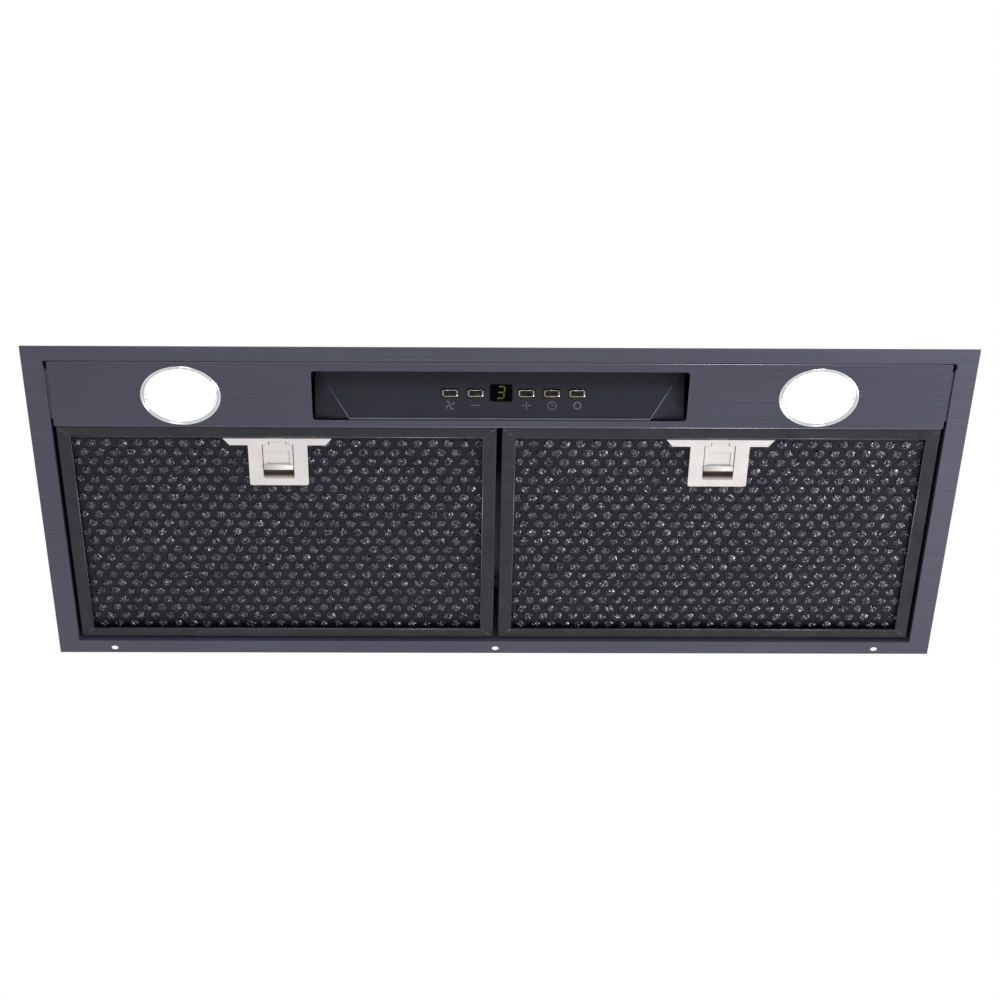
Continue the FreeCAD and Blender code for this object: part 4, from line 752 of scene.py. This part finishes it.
def face_edges():
    """A slim bead along the key face's ridge and its two slanting edges."""
    low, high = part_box("control_insert")
    ridge = (low.z - press.z * face_level) / down_face.z
    half = (high.x - low.x) / 2 - BEAD
    path = [on_face(-half, ridge - FACE_LENGTH, 0), on_face(-RIDGE_HALF, ridge, 0),
            on_face(RIDGE_HALF, ridge, 0), on_face(half, ridge - FACE_LENGTH, 0)]
    points, faces = bead(path, BEAD, press)
    return piece("face_edges", points, faces, [painted_highlight_plastic], "hood")


face_edges()
print("a bead", BEAD / MM, "mm in radius")

# %% [markdown]
# ## Edges of the fascia and ridges of the latches
# The fascia's long edges are rolled, and each bend carries one pale line of painted
# highlight: a bead in a paler copy of the fascia's steel, sunk in its outermost place.  Each
# latch slide ends in a ridge for the fingertip.  It is a wide low bead, and its front slope
# looks at the light more squarely than the flat slide does.

# %% Fascia edges and ridges
PANEL_BEND = 2.4 * MM
RIDGE_END_GAP = 0.15 * MM
# From the slide's rear edge and from its lowest point, in millimetres.
RIDGE_PROFILE = ((-5.6, 0.3), (-5.0, -0.25), (-4.0, -0.8), (-3.0, -1.15), (-2.0, -1.25), (-1.1, -1.05),
                 (-0.5, -0.55), (-0.3, 0.2), (-0.6, 1.2), (-2.0, 1.6), (-4.0, 1.0))
# Painted highlight: a paler copy of the fascia's steel for the lines on its bends.
painted_highlight_steel = finish("painted_highlight_steel", ((0.16, 0.155, 0.20), (0.22, 0.215, 0.27)), (0.22, 0.32),
                        metallic=0.55, grain=BRUSHED, clouds=5.0, lift=0.003)


def fascia_edge(name, side_sign):
    """A painted highlight: a pale line along the front (-1) or rear (1) bend of the fascia."""
    low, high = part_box("front_panel")
    setback = PANEL_BEND * (1 - math.sqrt(0.5))
    y = high.y - setback if side_sign > 0 else low.y + setback
    inwards = Vector((0, -side_sign, 1)).normalized()
    path = [Vector((x, y, low.z + setback)) for x in (low.x + MM, high.x - MM)]
    points, faces = bead(path, BEAD, inwards)
    return piece(name, points, faces, [painted_highlight_steel], "hood")


def latch_ridge(side):
    """A low rounded ridge across the rear end of a latch slide."""
    low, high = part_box("latch_slider_" + side)
    rings = [[Vector((x, high.y + y * MM, low.z + z * MM)) for y, z in RIDGE_PROFILE]
             for x in (low.x + RIDGE_END_GAP, high.x - RIDGE_END_GAP)]
    points, faces = loft(rings)
    return piece("latch_ridge_" + side, points, faces, [latch_white], "latch_" + side)


fascia_edge("fascia_front_edge", -1)
fascia_edge("fascia_rear_edge", 1)
for side in SIDES:
    latch_ridge(side)
print("two fascia edges and", len(SIDES), "finger ridges")

# %% [markdown]
# ## The lamps
# Each lamp is a polished trim ring round an opal disc, lit from behind.  The ring has a
# rounded outer rim, a narrow groove and an inner slope that the disc lights up.  The disc
# is turned as a rippled profile, because its moulded rings make the light a little uneven.
# Its glow falls off slightly towards the rim, with the distance from the lamp's middle.

# %% Lamps
# Radius from the ring's outside and height above its lowest point, in millimetres.
RING_PROFILE = ((-3.55, 7.9), (-3.55, 1.2), (-3.2, 0.55), (-2.5, 0.3), (-2.2, 0.9), (-1.9, 1.3),
                (-1.65, 0.9), (-1.5, 0.35), (-1.1, 0.06), (-0.75, 0.0), (-0.4, 0.1), (-0.1, 0.4),
                (0.0, 0.8), (-1.55, 0.8), (-1.55, 7.9))
DISC_STEPS = 30
RIPPLE = 0.12 * MM
RIPPLES = 7
DOME = 1.3 * MM
GLOW_RADIUS = 26 * MM
lamp_chrome = finish("lamp_chrome", ((0.74, 0.75, 0.77), (0.88, 0.89, 0.91)), (0.10, 0.20),
                     metallic=0.8, grain=(1200, 1200, 1200), clouds=60.0, lift=0.002, edge=0.15 * MM)


def opal_glow(side):
    """Glowing opal plastic whose rings are centred on one lamp."""
    material = glowing("opal_glow_" + side, ((0.80, 0.80, 0.80), (0.95, 0.95, 0.95)), 1.6, 900, 60.0)
    tree = material.node_tree
    place = tree.nodes.new("ShaderNodeTexCoord")
    shift = tree.nodes.new("ShaderNodeMapping")
    shift.inputs["Location"].default_value = -middle("lamp_lens_" + side)
    distance = tree.nodes.new("ShaderNodeVectorMath")
    distance.operation = "LENGTH"
    falloff = tree.nodes.new("ShaderNodeValToRGB")
    falloff.color_ramp.elements[0].position = 0.55
    falloff.color_ramp.elements[0].color = (1, 1, 1, 1)
    falloff.color_ramp.elements[1].position = 1.0
    falloff.color_ramp.elements[1].color = (0.50, 0.51, 0.53, 1)
    share = tree.nodes.new("ShaderNodeMapRange")
    share.inputs["From Max"].default_value = GLOW_RADIUS
    link(tree, place.outputs["Object"], shift.inputs["Vector"])
    link(tree, shift.outputs["Vector"], distance.inputs[0])
    link(tree, distance.outputs["Value"], share.inputs["Value"])
    link(tree, share.outputs["Result"], falloff.inputs["Fac"])
    link(tree, falloff.outputs["Color"], tree.nodes["Principled BSDF"].inputs["Emission Color"])
    return material


def turned_rings(profile, x, y, steps=96):
    """A ring of points for each (radius, z) pair of a profile, about an upright line."""
    rings = []
    for radius, z in profile:
        rings.append([(x + radius * math.cos(2 * math.pi * step / steps),
                       y + radius * math.sin(2 * math.pi * step / steps), z) for step in range(steps)])
    return rings


def lamp_ring(side):
    """A trim ring with a rounded rim, a groove and an inner slope."""
    low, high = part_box("lamp_bezel_" + side)
    centre = (low + high) / 2
    outer = (high.x - low.x) / 2
    profile = [(outer + inward * MM, low.z + z * MM) for inward, z in RING_PROFILE]
    points, faces = closed_loop(turned_rings(profile, centre.x, centre.y))
    made = piece("lamp_ring_" + side, points, faces, [lamp_chrome], "hood")
    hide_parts("lamp_bezel_" + side)
    return made


def lamp_disc(side):
    """A rippled opal disc in place of the plain lens."""
    low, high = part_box("lamp_lens_" + side)
    centre = (low + high) / 2
    radius = (high.x - low.x) / 2
    profile = []
    for step in range(DISC_STEPS):
        share = (step + 0.5) / DISC_STEPS
        ripple = RIPPLE * math.sin(share * 2 * math.pi * RIPPLES)
        dome = low.z + DOME * share ** 3 + 0.14 * MM
        profile.append((radius * share, dome + ripple * (0.3 + 0.7 * share)))
    profile.append((radius, high.z))
    points, faces = loft(turned_rings(profile, centre.x, centre.y))
    made = piece("lamp_disc_" + side, points, faces, [opal_glow(side)], "hood")
    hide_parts("lamp_lens_" + side)
    return made


for side in SIDES:
    lamp_ring(side)
    lamp_disc(side)
print("two lamps")

# %% [markdown]
# ## Where the holes are
# The facing is a sheet with hundreds of round holes, and crumpled foil bulges out of each.
# The holes repeat in staggered rows about the middle of the filter, and the rows run on
# under the rails, so the outermost holes are only partly seen.  Nothing bulges where the
# latch's well goes through the filter.

# %% Hole pattern
COLUMN_PITCH = 11.7 * MM
ROW_PITCH = 9.7 * MM
RAIL = 10.0 * MM
UNDER_RAIL = 2.5 * MM
FACING_GAP = 1.0 * MM
WELL_HALF = 19 * MM


def filter_box(side):
    """Two corners of a filter's frame, without the tabs behind its rear rail."""
    low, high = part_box("filter_frame_" + side)
    high.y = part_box("filter_facing_" + side)[1].y + FACING_GAP
    return low, high


def hole_centres(side):
    """Centres of the holes in one facing, in staggered rows, clear of the latch."""
    low, high = filter_box(side)
    centre = (low + high) / 2
    edge = RAIL - UNDER_RAIL
    latch_low, latch_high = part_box("latch_plate_" + side)
    rows = int((high.y - low.y - 2 * edge) / ROW_PITCH) // 2 + 1
    columns = int((high.x - low.x - 2 * edge) / COLUMN_PITCH) // 2 + 1
    centres = []
    for row in range(-rows, rows + 1):
        shift = COLUMN_PITCH / 2 if row % 2 else 0
        for column in range(-columns, columns + 1):
            x = centre.x + column * COLUMN_PITCH + shift
            y = centre.y + row * ROW_PITCH
            inside = low.x + edge <= x <= high.x - edge and low.y + edge <= y <= high.y - edge
            behind_latch = abs(x - (latch_low.x + latch_high.x) / 2) < WELL_HALF and y < latch_high.y
            if inside and not behind_latch:
                centres.append((x, y))
    return centres


for side in SIDES:
    print(len(hole_centres(side)), "holes in the", side, "filter")

# %% [markdown]
# ## The drawn edges of the rails
# An extruded rail has a small radius where its face turns in towards the facing, and that
# radius catches the light, so each filter's opening is drawn in thin pale lines of painted
# highlight.  Fine lines also mark the mitres, where two rails meet in a corner.  All of them
# are slim beads in a paler copy of the rails' coat, sunk in the rails' faces.

# %% Rail edges
RAIL_BEAD = 0.45 * MM
MITRE_BEAD = 0.3 * MM
# Painted highlight on the rails' inner edges; the same paler coat draws the mitre lines.
rail_highlight_and_mitre_coat = finish("rail_highlight_and_mitre_coat", ((0.06, 0.058, 0.07), (0.11, 0.107, 0.125)), (0.22, 0.34),
                        metallic=0.6, grain=(400, 400, 400), clouds=40.0, lift=0.003)


def rail_edges(side):
    """Slim beads round a filter's opening and along its four mitres."""
    low, high = filter_box(side)
    upwards = Vector((0, 0, 1))
    inner = [Vector((x, y, low.z)) for x, y in (
        (low.x + RAIL, low.y + RAIL), (high.x - RAIL, low.y + RAIL),
        (high.x - RAIL, high.y - RAIL), (low.x + RAIL, high.y - RAIL))]
    middle_of_filter = (inner[0] + inner[2]) / 2
    points = []
    faces = []
    for index, corner in enumerate(inner):
        outwards = Vector((math.copysign(1, corner.x - middle_of_filter.x),
                           math.copysign(1, corner.y - middle_of_filter.y), 0))
        runs = (([corner, inner[(index + 1) % 4]], RAIL_BEAD),
                ([corner, corner + outwards * (RAIL - 1.0 * MM)], MITRE_BEAD))
        for path, radius in runs:
            run_points, run_faces = bead(path, radius, upwards)
            faces += [tuple(place + len(points) for place in face) for face in run_faces]
            points += run_points
    return piece("rail_edges_" + side, points, faces, [rail_highlight_and_mitre_coat], "filter_" + side)


for side in SIDES:
    rail_edges(side)
print("rail edges round", len(SIDES), "filters")

# %% [markdown]
# ## Crumpled foil in the holes
# Each bulge is a low boss of foil about eight millimetres across.  It is a stack of rings
# that sink from the hole's edge to a crown, shaken at random, with a few parallel folds in a
# direction of its own.  Flat facets matter here: foil glitters because one facet mirrors a
# lamp while its neighbour mirrors something dark.

# %% Foil bosses
# Radius, height over the facing's lower side and shake of each ring, in millimetres.
BOSS_RINGS = ((1.1, -0.95, 0.30), (2.1, -0.85, 0.34), (3.0, -0.62, 0.32), (3.75, -0.35, 0.22),
              (3.9, 0.35, 0.05))
CROWN = -0.95 * MM
BOSS_STEPS = 13
FOLD_HEIGHT = 0.42 * MM
FOLD_PITCH = 2.9 * MM


def foil_boss(x, y, face_z, dice):
    """Points of one crumpled boss: its crown, then its rings from the crown outwards."""
    turn = dice.uniform(-1.3, 0.5)
    phase = dice.uniform(0, 2 * math.pi)
    size = dice.uniform(0.94, 1.08)
    points = [(x, y, face_z + CROWN + FOLD_HEIGHT * math.sin(phase))]
    for radius, height, shake in BOSS_RINGS:
        twist = dice.uniform(0, 0.5)
        for step in range(BOSS_STEPS):
            angle = 2 * math.pi * step / BOSS_STEPS + twist
            reach = radius * MM if height > 0 else radius * MM * size * dice.uniform(0.9, 1.1)
            dx = reach * math.cos(angle)
            dy = reach * math.sin(angle)
            across = dx * math.cos(turn) + dy * math.sin(turn)
            fold = 0 if height > 0 else FOLD_HEIGHT * math.sin(2 * math.pi * across / FOLD_PITCH + phase)
            z = face_z + height * MM + fold * (1.1 - radius / 4.5) + dice.uniform(-shake, shake) * MM
            points.append((x + dx, y + dy, z))
    return points


def foil_bosses(side):
    """A crumpled boss in every hole of one filter, each closed at its back."""
    face_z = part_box("filter_facing_" + side)[0].z
    dice = random.Random(5)
    points = []
    faces = []
    for x, y in hole_centres(side):
        base = len(points)
        points.extend(foil_boss(x, y, face_z, dice))
        for step in range(BOSS_STEPS):
            after = (step + 1) % BOSS_STEPS
            faces.append((base, base + 1 + after, base + 1 + step))
            for level in range(len(BOSS_RINGS) - 1):
                row = base + 1 + level * BOSS_STEPS
                a, b, c, d = row + step, row + after, row + BOSS_STEPS + after, row + BOSS_STEPS + step
                faces.extend([(a, b, c), (a, c, d)] if (step + level) % 2 else [(a, b, d), (b, c, d)])
        last = base + 1 + (len(BOSS_RINGS) - 1) * BOSS_STEPS
        faces.append(tuple(last + step for step in range(BOSS_STEPS)))
    return piece("foil_bosses_" + side, points, faces, [foil_grease_and_painted_glints], "filter_" + side,
                 smooth=False)


for side in SIDES:
    bosses = foil_bosses(side)
    print(len(bosses.data.polygons), "facets of foil in the", side, "filter")

# %% [markdown]
# ## The deeper layers of foil
# Behind the facing lie more layers of foil, which catch the grease that gets past the holes.
# From above, where the cook never looks, they show as a sheet of random folds.

# %% Foil layers
FOLD_STEP = 2.6 * MM
FOLD_DEPTH = 0.8 * MM
FOIL_GAP = 0.1 * MM
EDGE_GAP = 2 * MM
NOTCH_HALF = 14 * MM
NOTCH_LENGTH = 45.5 * MM


def latch_keep_out(side):
    """The part of the filter that the latch's well takes up, as x and y limits."""
    low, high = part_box("latch_plate_" + side)
    middle_x = (low.x + high.x) / 2
    return middle_x - NOTCH_HALF, middle_x + NOTCH_HALF, low.y - MM, low.y + NOTCH_LENGTH


def foil_folds(side):
    """A closed thin sheet with random folds, in place of the plain layers."""
    low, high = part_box("filter_facing_" + side)
    x0, x1, y0, y1 = latch_keep_out(side)
    back_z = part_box("filter_mesh_" + side)[1].z
    columns = int((high.x - low.x - 2 * EDGE_GAP) / FOLD_STEP)
    rows = int((high.y - low.y - 2 * EDGE_GAP) / FOLD_STEP)
    dice = random.Random(11)
    points = []
    for level in (0, 1):
        for row in range(rows + 1):
            for column in range(columns + 1):
                x = low.x + EDGE_GAP + column * FOLD_STEP
                y = low.y + EDGE_GAP + row * FOLD_STEP
                inner = 0 < row < rows and 0 < column < columns
                fold = -FOLD_DEPTH * (1 - level)
                if level == 0 and inner:
                    fold = dice.uniform(-FOLD_DEPTH, 0.0)
                points.append((x, y, back_z + fold - FOIL_GAP * (1 - level)))
    wide = columns + 1
    layer = wide * (rows + 1)
    kept = set()
    for row in range(rows):
        for column in range(columns):
            x = low.x + EDGE_GAP + (column + 0.5) * FOLD_STEP
            y = low.y + EDGE_GAP + (row + 0.5) * FOLD_STEP
            beside_well = not x0 - FOLD_STEP < x < x1 + FOLD_STEP
            if beside_well or not y0 - FOLD_STEP < y < y1 + FOLD_STEP:
                kept.add((column, row))
    faces = []
    for column, row in sorted(kept):
        a = row * wide + column
        b = a + 1
        c = a + wide + 1
        d = a + wide
        faces.append((a, d, c, b))
        faces.append((layer + a, layer + b, layer + c, layer + d))
        sides = (((column, row - 1), a, b), ((column + 1, row), b, c), ((column, row + 1), c, d),
                 ((column - 1, row), d, a))
        for neighbour, start, end in sides:
            if neighbour not in kept:
                faces.append((start, end, layer + end, layer + start))
    used = sorted({index for face in faces for index in face})
    renumber = {old: new for new, old in enumerate(used)}
    points = [points[old] for old in used]
    faces = [tuple(renumber[index] for index in face) for face in faces]
    made = piece("foil_folds_" + side, points, faces, [foil_grease_and_painted_glints], "filter_" + side,
                 smooth=False)
    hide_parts("filter_mesh_" + side)
    return made


for side in SIDES:
    print(len(foil_folds(side).data.polygons), "folds behind the", side, "facing")

# %% [markdown]
# ## The floor
# The hood floats over a wide pale floor, which lies below the camera and lights the hood's
# underside by reflection.

# %% Floor
FLOOR_Z = -2.75
FLOOR_RADIUS = 8.0
FLOOR_THICKNESS = 0.02


def studio_floor():
    """A wide round floor of matt pale paint."""
    profile = ((FLOOR_RADIUS, FLOOR_Z - FLOOR_THICKNESS), (FLOOR_RADIUS, FLOOR_Z))
    points, faces = loft(turned_rings(profile, 0, 0, steps=128))
    mesh = bpy.data.meshes.new("studio_floor")
    mesh.from_pydata(points, [], faces)
    floor = bpy.data.objects.new("studio_floor", mesh)
    bpy.context.scene.collection.objects.link(floor)
    mesh.materials.append(finish("floor_paint", ((0.60, 0.60, 0.60), (0.66, 0.66, 0.66)), (0.6, 0.8),
                                 grain=(3, 3, 3), clouds=0.5))


studio_floor()
print("floor at", FLOOR_Z, "m")

# %% [markdown]
# ## The light
# The sky is plain white, like the light tents that small things are shown in.  Three large
# soft lamps give the metal something to mirror: a long one low in front for the bends,
# one at the right, and one above and behind for the upper casing.  Each turns to face the
# hood, whatever its place.

# %% Light
world = bpy.data.worlds.new("light_tent")
world.use_nodes = True
world.node_tree.nodes["Background"].inputs["Color"].default_value = (1, 1, 1, 1)
world.node_tree.nodes["Background"].inputs["Strength"].default_value = 1.0
bpy.context.scene.world = world
bpy.context.scene.view_settings.view_transform = "Standard"


def soft_lamp(name, place, size, power):
    """A rectangular soft lamp that faces the hood."""
    lamp = bpy.data.objects.new(name, bpy.data.lights.new(name, "AREA"))
    lamp.data.shape = "RECTANGLE"
    lamp.data.size, lamp.data.size_y = size
    lamp.data.energy = power
    lamp.location = place
    lamp.rotation_euler = (-Vector(place)).to_track_quat("-Z", "Y").to_euler()
    bpy.context.scene.collection.objects.link(lamp)


soft_lamp("front_lamp", (0.25, -2.3, -1.1), (1.1, 0.4), 22)
soft_lamp("right_lamp", (1.15, 0.5, -0.9), (0.6, 0.6), 15)
soft_lamp("top_lamp", (-0.8, 1.2, 2.0), (1.2, 1.2), 20)
print(len(bpy.data.lights), "soft lamps")
